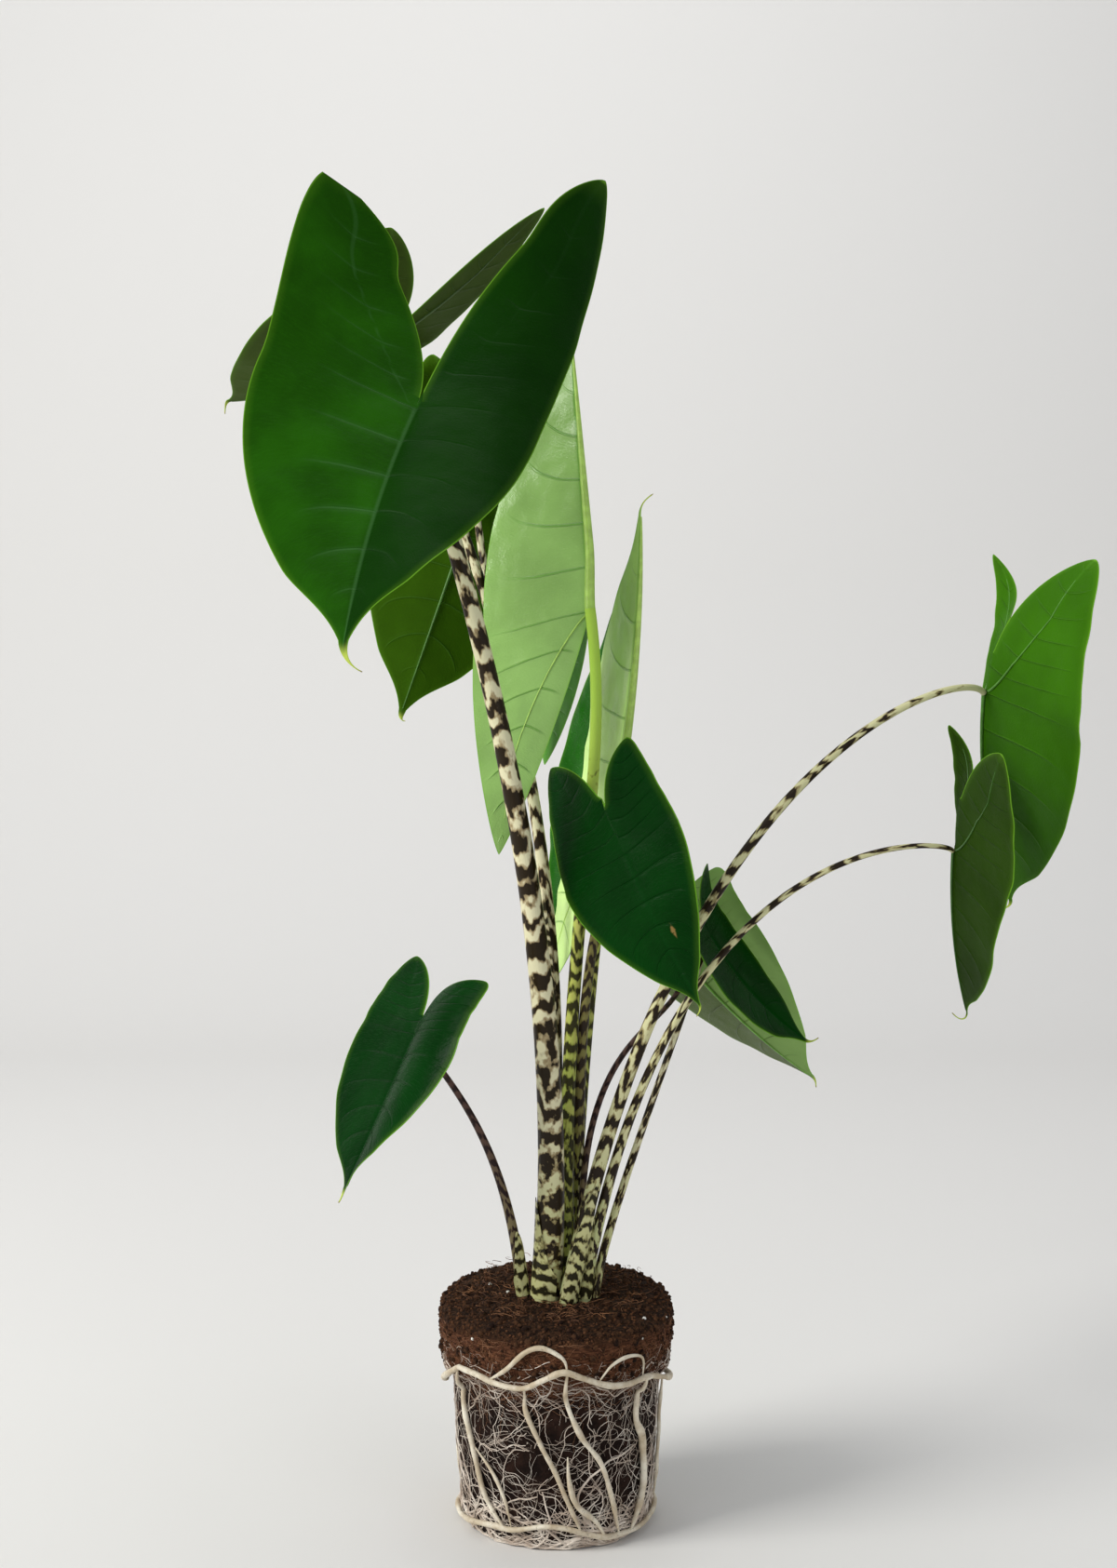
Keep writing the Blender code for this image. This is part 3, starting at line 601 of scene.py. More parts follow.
# ---- stalk finishes: ground low and high, fringe, marks, bands per metre, threshold, and the
# ---- two lengths along the stalk between which the marks fade out
STALK_LOOKS = {
    "zebra": ((0.60, 0.62, 0.27), (0.74, 0.70, 0.46), (0.20, 0.105, 0.020),
              (0.020, 0.012, 0.004), 52, -0.22, 2.0, 3.0),
    "arching": ((0.52, 0.58, 0.26), (0.66, 0.64, 0.36), (0.20, 0.13, 0.03),
                (0.020, 0.012, 0.006), 62, -0.12, 0.40, 0.60),
    "young": ((0.50, 0.49, 0.13), (0.42, 0.66, 0.08), (0.16, 0.17, 0.025),
              (0.034, 0.032, 0.008), 88, -0.20, 0.29, 0.40),
    "olive_young": ((0.44, 0.50, 0.10), (0.24, 0.22, 0.07), (0.16, 0.12, 0.04),
                    (0.030, 0.020, 0.012), 88, -0.17, 2.0, 3.0),
    "sheath": ((0.64, 0.64, 0.28), (0.56, 0.52, 0.34), (0.17, 0.13, 0.03),
               (0.024, 0.020, 0.008), 120, -0.25, 2.0, 3.0),
    "brown": ((0.26, 0.22, 0.10), (0.10, 0.052, 0.042), (0.06, 0.030, 0.022),
              (0.022, 0.010, 0.010), 110, 0.0, 2.0, 3.0),
}
# lengths along the stalk, in metres, between which the ground changes from low to high
GROUND_RISE = {"young": (0.22, 0.42)}
PLAIN_RISE = (0.03, 0.15)


def stalk_material(name, look):
    low, high, fringe, mark, per_metre, threshold, fade_start, fade_end = STALK_LOOKS[look]
    make = Finish("stalk_" + name, 0.36, IOR=1.4, Specular_IOR_Level=0.22)
    along = make.attribute("along")
    x, y, _ = make.split(make.attribute("around", "Vector"))
    offset = draw(0, 9)

    def skin(turn, stretch, detail, rough=0.5):
        """Noise on the skin, so fine round the stalk and so fine along it."""
        return make.noise(make.vector(make.times(x, turn), make.times(y, turn),
                                      make.scaled(along, stretch, offset)), 1.0, detail, rough)

    # bands across the stalk that run together into a net round pale islands
    phase = make.scaled(skin(0.5, 24, 1), 2.4, make.times(along, per_metre))
    phase = make.scaled(skin(0.85, 80, 2, 0.6), 0.9, phase)
    value = make.math("SINE", make.times(phase, math.tau))
    value = make.scaled(make.minus(skin(0.9, 95, 2), 0.5), 5.2, value)
    value = make.scaled(make.minus(skin(2.4, 260, 2), 0.5),
                        make.between(along, 0.04, 0.22, 5.5, 1.8), value)
    # fewer marks where they fade out, high up, and at the foot
    for near, far, start, end in ((fade_start, fade_end, 0.0, 3.4), (0.28, 0.42, 0.0, 0.17),
                                  (0.04, 0.20, 0.2, 0.0)):
        value = make.minus(value, make.between(along, near, far, start, end))
    dark = make.between(value, threshold - 0.05, threshold + 0.55)
    rim = make.between(value, threshold - 0.75, threshold + 0.05)
    tint = make.between(skin(1.6, 22, 3), 0.35, 0.65, 0.0, 0.6)
    rise = make.between(along, *GROUND_RISE.get(look, PLAIN_RISE))
    colour = make.blend(make.math("MAXIMUM", make.times(tint, 0.6), rise), low, high)
    colour = make.blend(make.times(rim, 0.72), colour, fringe)
    colour = make.blend(dark, colour, mark)
    grain = skin(9, 60, 3)
    height = make.scaled(dark, -0.25, grain)
    return make.done(colour, make.between(grain, 0.3, 0.7, 0.28, 0.42),
                     make.bump(height, 0.0003, 0.6))


# ---- finishes of the soil and the roots
PEAT_SHINE = 0.12
SOIL_BODY = ((0.008, 0.004, 0.003), (0.026, 0.012, 0.008))
SOIL_BAND = ((0.045, 0.016, 0.008), (0.150, 0.062, 0.030))
SOIL_TOP = ((0.014, 0.007, 0.004), (0.075, 0.033, 0.015))
HAIR_COLOUR = (0.34, 0.24, 0.18)
STAIN_COLOUR = (0.12, 0.055, 0.025)


def soil_material():
    make = Finish("soil", 0.95, Specular_IOR_Level=PEAT_SHINE)
    place = make.place()
    x, y, z = make.split(place)
    coarse = make.noise(place, 90, 5, 0.65)
    fine = make.noise(place, 420, 4, 0.7)
    fibre = make.noise(make.vector(x, y, make.times(z, 4)), 260, 4, 0.6)
    body = make.blend(make.between(coarse, 0.35, 0.7), *SOIL_BODY)
    band = make.blend(make.between(fibre, 0.35, 0.7), *SOIL_BAND)
    top = make.blend(make.between(fine, 0.4, 0.7), *SOIL_TOP)
    colour = make.blend(make.between(z, 0.088, 0.098), body, band)
    colour = make.blend(make.between(z, 0.121, 0.129), colour, top)
    # a thin felt of pale root hairs
    hair = make.noise(make.vector(make.times(x, 2), make.times(y, 2), z), 330, 5, 0.75)
    hair = make.times(make.between(hair, 0.6, 0.72), make.between(z, 0.09, 0.11, 0.10, 0.05))
    colour = make.blend(hair, colour, HAIR_COLOUR)
    height = make.plus(coarse, make.times(fine, 0.5))
    return make.done(colour, None, make.bump(height, 0.0022, 1.0))


def crumb_material(name, dark, light):
    make = Finish(name, 0.95, Specular_IOR_Level=PEAT_SHINE)
    place = make.place()
    colour = make.blend(make.between(make.noise(place, 300, 3), 0.35, 0.65), dark, light)
    return make.done(colour, None, make.bump(make.noise(place, 1500, 3), 0.0003, 0.8))


def root_material(name, dark, light, rough=0.6):
    make = Finish(name, rough)
    place = make.place()
    stain = make.noise(place, 400, 4, 0.7)
    colour = make.blend(make.between(make.noise(place, 70, 4, 0.6), 0.35, 0.7), dark, light)
    colour = make.blend(make.times(make.between(stain, 0.55, 0.75), 0.6), colour, STAIN_COLOUR)
    return make.done(colour, None, make.bump(stain, 0.0005, 0.8))


def add_object(name, data, place=(0, 0, 0), turn=(0, 0, 0)):
    made = bpy.data.objects.new(name, data)
    made.location, made.rotation_euler = place, turn
    bpy.context.scene.collection.objects.link(made)
    return made


# ---- geometry trees
SOCKETS = {int: "NodeSocketInt", float: "NodeSocketFloat", type(None): "NodeSocketMaterial"}
LUMP_SCALE = 700.0  # noise on the crumbs, per metre


def new_tree(name, settings):
    """A geometry tree, a call that adds nodes to it, and the sockets of its settings."""
    tree = bpy.data.node_groups.new(name, "GeometryNodeTree")
    tree.interface.new_socket("Geometry", in_out="INPUT", socket_type="NodeSocketGeometry")
    for label, value in settings.items():
        item = tree.interface.new_socket(label, in_out="INPUT", socket_type=SOCKETS[type(value)])
        if value is not None:
            item.default_value = value
    tree.interface.new_socket("Geometry", in_out="OUTPUT", socket_type="NodeSocketGeometry")

    def add(kind, inputs=(), **properties):
        return add_node(tree, kind, inputs, **properties)

    return tree, add, add("NodeGroupInput")


def end_tree(add, given, geometry):
    """Give the shape its finish and hand it on."""
    shape = add("GeometryNodeSetMaterial", {"Geometry": geometry, "Material": given["Finish"]})
    add("NodeGroupOutput", {"Geometry": shape["Geometry"]})


def sweep_tree():
    """A round skin along every curve, as thick as each point says."""
    tree, add, given = new_tree("round_skin", {"Sides": 8, "Finish": None})
    curve = add("GeometryNodeMeshToCurve", {"Mesh": given["Geometry"]})
    thickness = add("GeometryNodeInputNamedAttribute", {"Name": "thickness"}, data_type="FLOAT")
    circle = add("GeometryNodeCurvePrimitiveCircle", {"Resolution": given["Sides"], "Radius": 1.0})
    profile = add("GeometryNodeStoreNamedAttribute",
                  {"Geometry": circle["Curve"], "Name": "around",
                   "Value": add("GeometryNodeInputPosition")["Position"]},
                  data_type="FLOAT_VECTOR", domain="POINT")
    skin = add("GeometryNodeCurveToMesh",
               {"Curve": curve["Curve"], "Profile Curve": profile["Geometry"],
                "Scale": thickness["Attribute"], "Fill Caps": True})
    real = add("GeometryNodeRealizeInstances", {"Geometry": skin["Mesh"]})
    end_tree(add, given, real["Geometry"])
    return tree


def scatter_tree():
    """Crumbs strewn over the faces that are marked with a density."""
    tree, add, given = new_tree("crumbs", {
        "Per square metre": 1000.0, "Smallest": 0.0006, "Largest": 0.002, "Roundness": 1,
        "Uneven": 0.0004, "Seed": 1, "Finish": None})
    strewn = add("GeometryNodeInputNamedAttribute", {"Name": "strewn"}, data_type="FLOAT")
    density = add("ShaderNodeMath", {0: strewn["Attribute"], 1: given["Per square metre"]},
                  operation="MULTIPLY")
    points = add("GeometryNodeDistributePointsOnFaces",
                 {"Mesh": given["Geometry"], "Density": density[0], "Seed": given["Seed"]})
    ball = add("GeometryNodeMeshIcoSphere", {"Radius": 1.0, "Subdivisions": given["Roundness"]})
    # 2 and 3 are the least and the most of a plain number, and 1 is its output
    size = add("FunctionNodeRandomValue",
               {2: given["Smallest"], 3: given["Largest"], "Seed": given["Seed"]},
               data_type="FLOAT")
    spin = add("FunctionNodeRandomValue", {"Max": (math.tau,) * 3, "Seed": given["Seed"]},
               data_type="FLOAT_VECTOR")
    copies = add("GeometryNodeInstanceOnPoints",
                 {"Points": points["Points"], "Instance": ball["Mesh"], "Rotation": spin[0],
                  "Scale": size[1]})
    real = add("GeometryNodeRealizeInstances", {"Geometry": copies["Instances"]})
    lump = add("ShaderNodeTexNoise", {"Scale": LUMP_SCALE,
                                      "Vector": add("GeometryNodeInputPosition")["Position"]})
    centred = add("ShaderNodeVectorMath", {0: lump["Color"], 1: (0.5, 0.5, 0.5)},
                  operation="SUBTRACT")
    push = add("ShaderNodeVectorMath", {0: centred[0], "Scale": given["Uneven"]},
               operation="SCALE")
    moved = add("GeometryNodeSetPosition", {"Geometry": real["Geometry"], "Offset": push[0]})
    end_tree(add, given, moved["Geometry"])
    return tree


def run_tree(name, mesh, tree, settings):
    """A plain mesh object: what the tree makes of the mesh with these settings."""
    source = add_object(name, mesh)
    step = source.modifiers.new("make", "NODES")
    step.node_group = tree
    names = {item.name: item.identifier for item in tree.interface.items_tree
             if item.in_out == "INPUT"}
    for label, value in settings.items():
        step[names[label]] = value
    graph = bpy.context.evaluated_depsgraph_get()
    graph.update()
    made = bpy.data.meshes.new_from_object(source.evaluated_get(graph))
    source.modifiers.clear()
    source.data = made
    made.name = name
    made.shade_smooth()
    made.set_sharp_from_angle(angle=math.radians(60))
    return source


# ---- pieces
def lengths_along(path):
    return np.concatenate([[0], np.cumsum(np.linalg.norm(np.diff(path, axis=0), axis=1))])


def add_fields(mesh, fields):
    """Store a number or a vector for each point, under each name."""
    for label, values in fields.items():
        values = np.asarray(values, np.float32)
        kind, key = ("FLOAT", "value") if values.ndim == 1 else ("FLOAT_VECTOR", "vector")
        mesh.attributes.new(label, kind, "POINT").data.foreach_set(key, values.ravel())


def new_piece(name, verts, faces, finish, sharp=None, fields=()):
    """A mesh object with its finish, smooth but for edges sharper than so many degrees."""
    mesh = bpy.data.meshes.new(name)
    mesh.from_pydata([tuple(v) for v in verts], [], faces)
    add_fields(mesh, dict(fields))
    mesh.materials.append(finish)
    mesh.shade_smooth()
    if sharp:
        mesh.set_sharp_from_angle(angle=math.radians(sharp))
    return add_object(name, mesh)


def sweep(name, paths, sides, finish):
    """Round skins along paths, each given as (points, radii, closed), in metres."""
    verts, edges, thickness, along = [], [], [], []
    for points, radii, closed in paths:
        first, n = len(verts), len(points)
        verts.extend(map(tuple, points))
        thickness.extend(float(r) for r in np.broadcast_to(radii, n))
        along.extend(lengths_along(points))
        edges.extend((first + i, first + i + 1) for i in range(n - 1))
        if closed:
            edges.append((first + n - 1, first))
    mesh = bpy.data.meshes.new(name)
    mesh.from_pydata(verts, edges, [])
    add_fields(mesh, {"thickness": thickness, "along": along})
    return run_tree(name, mesh, SWEEP, {"Sides": sides, "Finish": finish})


def settle(piece, slot, *nodes):
    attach(piece, BODY)
    if nodes:
        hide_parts(*nodes)


# ---- blades: lengths in mm; a row is -1 at a lobe's end, 0 at the junction, 1 at the tip
LATERALS = 6.5  # lateral veins on each side of the midrib, from junction to tip
QUILT = 0.30  # how far the blade stands up between its laterals
RIPPLE = 0.45  # waves of the margin
LONG_WAVES, SHORT_WAVES = (17, 2.1), (29, 1.3)  # turns per row, in radians, and where they start
SHORT_SHARE = 0.6
WAVY_LENGTH = 0.19  # midrib in metres of the leaf that these two are right for
GROOVE = 0.6  # depth of the channel over the midrib
GROOVE_REACH = 1.7
LOBE_GROOVE = 0.45  # share of that depth over a lobe's rib
THIN_EDGE = 0.45  # thickness at the margin, as a share
WAIST_ROW, WAIST_REACH = 0.25, 0.40
FILL_START = 0.66  # how far along a lobe its filling begins
TAIL_START = 0.965  # row from which the drip tip leaves the blade
TAIL_REACH = 0.12  # rows that it takes
TAIL_ROWS = 14
TAIL_END = 0.3  # half the breadth of its end
RIB_RINGS, LOBE_RIB_RINGS, RIB_SIDES = 60, 40, 8
RIB_END, LOBE_RIB_END = 0.28, 0.16  # radii
RIB_CLEAR = (0.42, 0.10)  # blade left over the midrib, along most of it and at its end
LOBE_RIB_CLEAR = 0.30
RIB_LAST_ROW = 0.96
LOBE_RIB_ROWS = (0.015, 0.85)
RIB_FOOT, LOBE_RIB_FOOT = 0.60, 0.36  # radii at the junction, as shares of the stalk's
YOUNG_FOOT, YOUNG_LOBE_FOOT = 1.0, 0.16
COSTA_SHARE, COSTA_REACH = 0.46, 0.6  # where a lobe's rib ends up, and by what row
THIN_REACH = 3  # mm from the margin over which it thins
QUILT_EDGE, QUILT_RIB = 14, 8  # mm from margin and rib over which the quilting dies away
NO_MARGIN = 1e3  # mm, for where there is no inner margin
LOBE_END_FALL = 60  # mm in a row by which a lobe's end counts as a margin
UNDER_GROOVE = 0.4  # share of the channel that the underside follows
YOUNG_EASE = 0.24  # row where a young leaf's midrib has sunk in from its stalk


def costa(row):
    """Share of the breadth at which a lobe's own rib runs."""
    return COSTA_SHARE * np.clip(np.clip(-row, 0, 1) / COSTA_REACH, 0, 1) ** 0.7


def smooth_step(value, low, high):
    t = np.clip((value - low) / (high - low), 0, 1)
    return t * t * (3 - 2 * t)


def vein_fields(data, side, row, share):
    """Number of the lateral, distance from the nearest rib and from the margin (mm)."""
    row = np.minimum(row, TAIL_START)
    inner, outer = margins(data, side, row)
    breadth = (outer - inner) / MM
    off = np.abs(share - costa(row))
    swing = -0.22 + 0.34 * np.clip((row + 0.3) / 0.9, 0, 1)
    lateral = LATERALS * (row - swing * off ** 1.3 - 0.06 * off ** 3)
    to_inner = np.where(row > -data["web"], NO_MARGIN, share * breadth)
    edge = np.minimum(to_inner, (1 - share) * breadth)
    edge = np.minimum(edge, (1 + np.minimum(row, 0)) * LOBE_END_FALL)
    return lateral, off * breadth, edge


def drip_tip(data, side, shares):
    """Points of the drip tip: rows that narrow along a curve from the blade's last row."""
    last = blade_point(data, side, np.full(2, TAIL_START), np.array([0.0, 1.0]))
    tip = blade_point(data, side, np.array([1.0]), np.array([0.0]))[0]
    near, end = data["tail"]
    t = np.linspace(0, 1, TAIL_ROWS + 1)[1:]
    line = bezier((last[0], tip, tip + near, tip + end), t ** 0.8)
    aside = last[1] - last[0]
    breadth = np.linalg.norm(aside) * (1 - data["pinch"][1])
    wide = TAIL_END * MM + (breadth - TAIL_END * MM) * (1 - t) ** 1.7
    aside = aside / np.linalg.norm(aside)
    return line[:, None] + aside * (wide[:, None] * shares)[..., None]


def leaf_rows(data):
    """Rows from the lobes' ends to the drip tip's end; one of them lies where the web ends."""
    lobe = -np.sin(np.linspace(1, 0, LOBE_ROWS, endpoint=False) * math.pi / 2)
    lobe[np.abs(lobe + data["web"]).argmin()] = -data["web"]
    front = TAIL_START * np.sin(np.linspace(0, 1, FRONT_ROWS + 1) * math.pi / 2) ** 0.96
    beyond = TAIL_START + TAIL_REACH * np.linspace(0, 1, TAIL_ROWS + 1)[1:]
    return np.concatenate([lobe, front, beyond])


def formed_shares(data, side, row, share):
    """Shares of the breadth once the margins narrow to the tip, curl in and fill the lobe."""
    start, amount = data["pinch"]
    formed = share * (1 - amount * smooth_step(row, start, TAIL_START))
    formed = formed * (1 - data["waist"] * np.exp(-((row - WAIST_ROW) / WAIST_REACH) ** 2))
    return formed - data["fill"][side] * smooth_step(-row, FILL_START, 1.0) * (1 - formed)


def surface_lift(data, side, row, share, veins):
    """Waves of the margin and quilting between the laterals, in mm."""
    lateral, rib, edge = veins
    size = data["length"] / WAVY_LENGTH
    wave = (np.sin(row * LONG_WAVES[0] + side * LONG_WAVES[1])
            + SHORT_SHARE * np.sin(row * SHORT_WAVES[0] + SHORT_WAVES[1]))
    calm = np.clip((1 - np.abs(row)) * 4, 0, 1)
    lift = RIPPLE * size * wave * share ** 3 * calm
    puff = np.abs(np.sin(lateral * math.pi)) ** 0.8 - 0.6
    lift += (QUILT * size * puff * np.clip(edge / QUILT_EDGE, 0, 1)
             * np.clip(rib / QUILT_RIB, 0, 1) * calm)
    return lift


def blade_sheet(data):
    """Points and faces of the blade's middle surface, and at each point the number of the
    lateral, the distances from rib and margin, the row, the half and the lift."""
    rows = leaf_rows(data)
    t = np.linspace(0, 1, COLUMNS + 1)
    shares = 0.62 * t ** 1.7 + 0.38 * np.sin(t * math.pi / 2)
    shares[-1] = 1.0
    points, faces, fields, shared = [], [], [], {}
    for side in (0, 1):
        grid_row, grid_share = np.meshgrid(rows, shares, indexing="ij")
        formed = formed_shares(data, side, grid_row, grid_share)
        cut = data["cut"][side]
        grid_row = np.where(grid_row < 0, grid_row * (1 - cut * grid_row ** 8), grid_row)
        place = blade_point(data, side, grid_row, formed)
        place[-TAIL_ROWS:] = drip_tip(data, side, shares)
        veins = vein_fields(data, side, grid_row, grid_share)
        values = [*veins, surface_lift(data, side, grid_row, grid_share, veins)]
        index = np.empty(grid_row.shape, int)
        for i, row in enumerate(rows):
            for j in range(COLUMNS + 1):
                # a row that has no breadth is one point, and the halves share the midrib
                k = 0 if i == len(rows) - 1 or (i == 0 and not cut) else j
                key = (0 if k == 0 and row >= -data["web"] else side + 1, i, k)
                if key not in shared:
                    shared[key] = len(points)
                    points.append(place[i, k])
                    lateral, rib, edge, lift = (value[i, k] for value in values)
                    half = 0.5 if k == 0 and row >= 0 else side
                    fields.append((lateral, rib, edge, row, half, lift))
                index[i, j] = shared[key]
        for i in range(len(rows) - 1):
            for j in range(COLUMNS):
                face = [index[i, j], index[i + 1, j], index[i + 1, j + 1], index[i, j + 1]]
                if side == 0:
                    face.reverse()
                face = [k for n, k in enumerate(face) if k != face[n - 1]]
                if len(face) > 2:
                    faces.append(tuple(face))
    return np.array(points), faces, np.array(fields)


def sheet_normals(points, faces):
    normals = np.zeros_like(points)
    for face in faces:
        a, b, c = points[face[0]], points[face[1]], points[face[2]]
        normal = np.cross(b - a, c - a)
        if len(face) == 4:
            normal = np.cross(c - a, points[face[3]] - b)
        for k in face:
            normals[k] += normal
    return normals / np.linalg.norm(normals, axis=1)[:, None]


def make_blade(name, data):
    points, faces, fields = blade_sheet(data)
    normals = sheet_normals(points, faces)
    lateral, rib, edge, row, half, lift = fields.T
    points = points + normals * (lift * MM)[:, None]
    thick = BLADE_THICK / 2 * (THIN_EDGE + (1 - THIN_EDGE) * np.clip(edge / THIN_REACH, 0, 1)) * MM
    deep = np.clip((TAIL_START - np.abs(row)) * 5, 0, 1) * np.where(row < 0, LOBE_GROOVE, 1.0)
    channel = GROOVE * np.exp(-(rib / GROOVE_REACH) ** 2) * MM * deep
    above = points + normals * (thick - channel)[:, None]
    below = points - normals * (thick + UNDER_GROOVE * channel)[:, None]
    n = len(points)
    rim = {}
    for face in faces:
        for a, b in zip(face, face[1:] + face[:1]):
            if rim.pop((b, a), None) is None:
                rim[a, b] = True
    solid = faces + [tuple(n + k for k in reversed(face)) for face in faces]
    solid += [(b, a, n + a, n + b) for a, b in rim]
    values = {"upper": np.concatenate([np.ones(n), np.zeros(n)])}
    for label, one in (("lateral", lateral), ("rib", rib), ("edge", edge), ("row", row),
                       ("half", half)):
        values[label] = np.tile(one, 2)
    blade = new_piece("leaf_" + name, np.vstack([above, below]), solid,
                      leaf_material(name, data["look"]), 70, values)
    settle(blade, SLOTS["blade_" + name], "blade_" + name)
    make_ribs(name, data)


def rib_path(data, side, rows, shares, radii, clear, eased=False):
    """Points along the underside, from the junction on, so deep that nothing shows above."""
    points = blade_point(data, side, rows, shares)
    beside = blade_point(data, side, rows, shares + 0.02)
    other = points if shares.any() else blade_point(data, 1 - side, rows, shares + 0.02)
    normal = np.cross(np.gradient(points, axis=0), beside - other)
    normal /= np.linalg.norm(normal, axis=1)[:, None]
    facing = (1 if side else -1) * (1 if rows[-1] > rows[0] else -1)
    deep = (radii + clear * MM) * (smooth_step(rows, 0, YOUNG_EASE) if eased else 1)
    return points - normal * facing * deep[:, None]


def make_ribs(name, data):
    """Midrib and the two lobe ribs, raised on the underside."""
    young = data["look"] in YOUNG
    thick = data["thickness"][1]
    shares = (YOUNG_FOOT, YOUNG_LOBE_FOOT) if young else (RIB_FOOT, LOBE_RIB_FOOT)
    foot, lobe_foot = (thick * share for share in shares)
    rows = np.linspace(0.0, RIB_LAST_ROW, RIB_RINGS)
    radii = (RIB_END + (foot - RIB_END) * (1 - rows) ** (0.8 if young else 1.3)) * MM
    clear = np.interp(rows, (0.70, RIB_LAST_ROW), RIB_CLEAR)
    path = rib_path(data, 0, rows, np.zeros(RIB_RINGS), radii, clear, young)
    paths = [(path, radii, False)]
    for side in (0, 1):
        behind = np.linspace(*LOBE_RIB_ROWS, LOBE_RIB_RINGS)
        radii = (LOBE_RIB_END + (lobe_foot - LOBE_RIB_END) * (1 - behind) ** 1.3) * MM
        path = rib_path(data, side, -behind, costa(-behind), radii, LOBE_RIB_CLEAR)
        paths.append((path, radii, False))
    ribs = sweep("ribs_" + name, paths, RIB_SIDES, RIB_FINISH[data["look"]])
    settle(ribs, SLOTS["blade_" + name])


# ---- stalks
def stalk_radius(data, share):
    """Radius in mm at a share of the way from the foot to the blade."""
    foot, top = data["thickness"]
    return foot + (top - foot) * share ** 0.7


def make_stalk(name, data):
    path = stalk_curve(data, STALK_RINGS)
    arrival = path[-1] - path[-2]
    path = np.vstack([path, path[-1] + arrival / np.linalg.norm(arrival) * SINK * MM])
    lengths = lengths_along(path)
    share = np.clip((lengths - lengths[2]) / (lengths[-2] - lengths[2]), 0, 1)
    stalk = sweep("petiole_" + name, [(path, stalk_radius(data, share) * MM, False)], STALK_SIDES,
                  stalk_material(name, data["stalk"]))
    settle(stalk, SLOTS["stalk_" + name], "stalk_" + name)


# ---- sheaths: name, height from the soil, where round the stalk it starts and ends (degrees),
# ---- how far it stands off
SHEATHS = (("front", 62, -30, 150, 1.5), ("behind", 250, -60, 60, 1.4),
           ("right_high", 74, -120, 40, 1.6), ("left_low", 42, -170, 40, 1.8),
           ("mid", 90, -150, 30, 1.2), ("right_low", 50, -60, 120, 1.2))
SHEATH_THICK = 0.5
SHEATH_GAP = 0.25
SHEATH_LIFT = 0.0004  # how far above the soil it starts, metres
SHEATH_LOW = 0.25  # height of its sides, flare at the foot and in the middle, as shares
SHEATH_RINGS, SHEATH_STEPS = 26, 18
AHEAD = 0.003  # metres to the place that gives the stalk's direction


def sheath_point(data, path, lengths, angle, s, off):
    """Point off mm clear of the stalk's skin, s metres along it, and its direction round it."""
    place, onward = (np.array([np.interp(at, lengths, path[:, axis]) for axis in range(3)])
                     for at in (s, s + AHEAD))
    onward = (onward - place) / np.linalg.norm(onward - place)
    side = np.cross(onward, (0, 1.0, 0))
    side /= np.linalg.norm(side)
    front = np.cross(side, onward)
    radius = stalk_radius(data, s / lengths[-1]) + off
    return place + (side * math.sin(angle) - front * math.cos(angle)) * radius * MM


def make_sheaths():
    """Thin sheaths that clasp the stalks' feet and end in a slanting tip."""
    rings, steps = SHEATH_RINGS, SHEATH_STEPS
    size = rings * steps
    faces = []
    for i in range(rings - 1):
        for j in range(steps - 1):
            a = i * steps + j
            quad = (a, a + 1, a + steps + 1, a + steps)
            faces += [tuple(reversed(quad)), tuple(size + k for k in quad)]
    rim = list(range(steps)) + [i * steps + steps - 1 for i in range(1, rings)]
    rim += [(rings - 1) * steps + j for j in range(steps - 2, -1, -1)]
    rim += [i * steps for i in range(rings - 2, 0, -1)]
    faces += [(a, b, size + b, size + a) for a, b in zip(rim, rim[1:] + rim[:1])]
    for name, height, start, end, off in SHEATHS:
        data = LEAVES[name]
        path = stalk_curve(data, STALK_RINGS)[2:]
        lengths = lengths_along(path)
        verts, along, around = [], [], []
        for layer in (0.0, SHEATH_THICK):
            for i in range(rings):
                for j in range(steps):
                    across, up = j / (steps - 1), i / (rings - 1)
                    angle = math.radians(start + (end - start) * across)
                    arch = math.sin(math.pi * across ** 1.6)
                    tall = height * MM * (SHEATH_LOW + (1 - SHEATH_LOW) * arch)
                    s = tall * up + SHEATH_LIFT
                    edge = abs(2 * across - 1) ** 4
                    flare = off * (SHEATH_LOW + (1 - SHEATH_LOW) * up) * (SHEATH_LOW + edge)
                    clear = SHEATH_GAP + flare + layer
                    verts.append(sheath_point(data, path, lengths, angle, s, clear))
                    along.append(s + HOLE_DEPTH * MM)
                    around.append((math.sin(angle), -math.cos(angle), 0.0))
        sheath = new_piece("sheath_" + name, verts, faces,
                           stalk_material("sheath_" + name, "sheath"), 60,
                           {"along": along, "around": around})
        settle(sheath, SLOTS["stalk_" + name])


# ---- soil: heights in mm
FLAT_FOOT = 0.8  # up to here the foot stays flat
BAND = (92, 128)  # the rougher band under the edge
TOP_EDGE = 128.5  # from here on the crumbs stand up instead of out
STREWN_FROM = 91
# piece, finish, crumbs per square metre, least and greatest radius (m), roundness, unevenness (m),
# seed, dark and light tone
CRUMBS = (
    ("peat_crumbs", "peat_crumb", 130000.0, 0.0003, 0.0012, 1, 0.0010, 3,
     (0.020, 0.009, 0.005), (0.120, 0.052, 0.024)),
    ("peat_clods", "peat_clod", 13000.0, 0.0010, 0.0024, 2, 0.0020, 5,
     (0.014, 0.007, 0.005), (0.075, 0.034, 0.016)),
    ("perlite", "perlite", 900.0, 0.0005, 0.0013, 2, 0.0007, 11,
     (0.62, 0.60, 0.52), (0.90, 0.88, 0.82)))


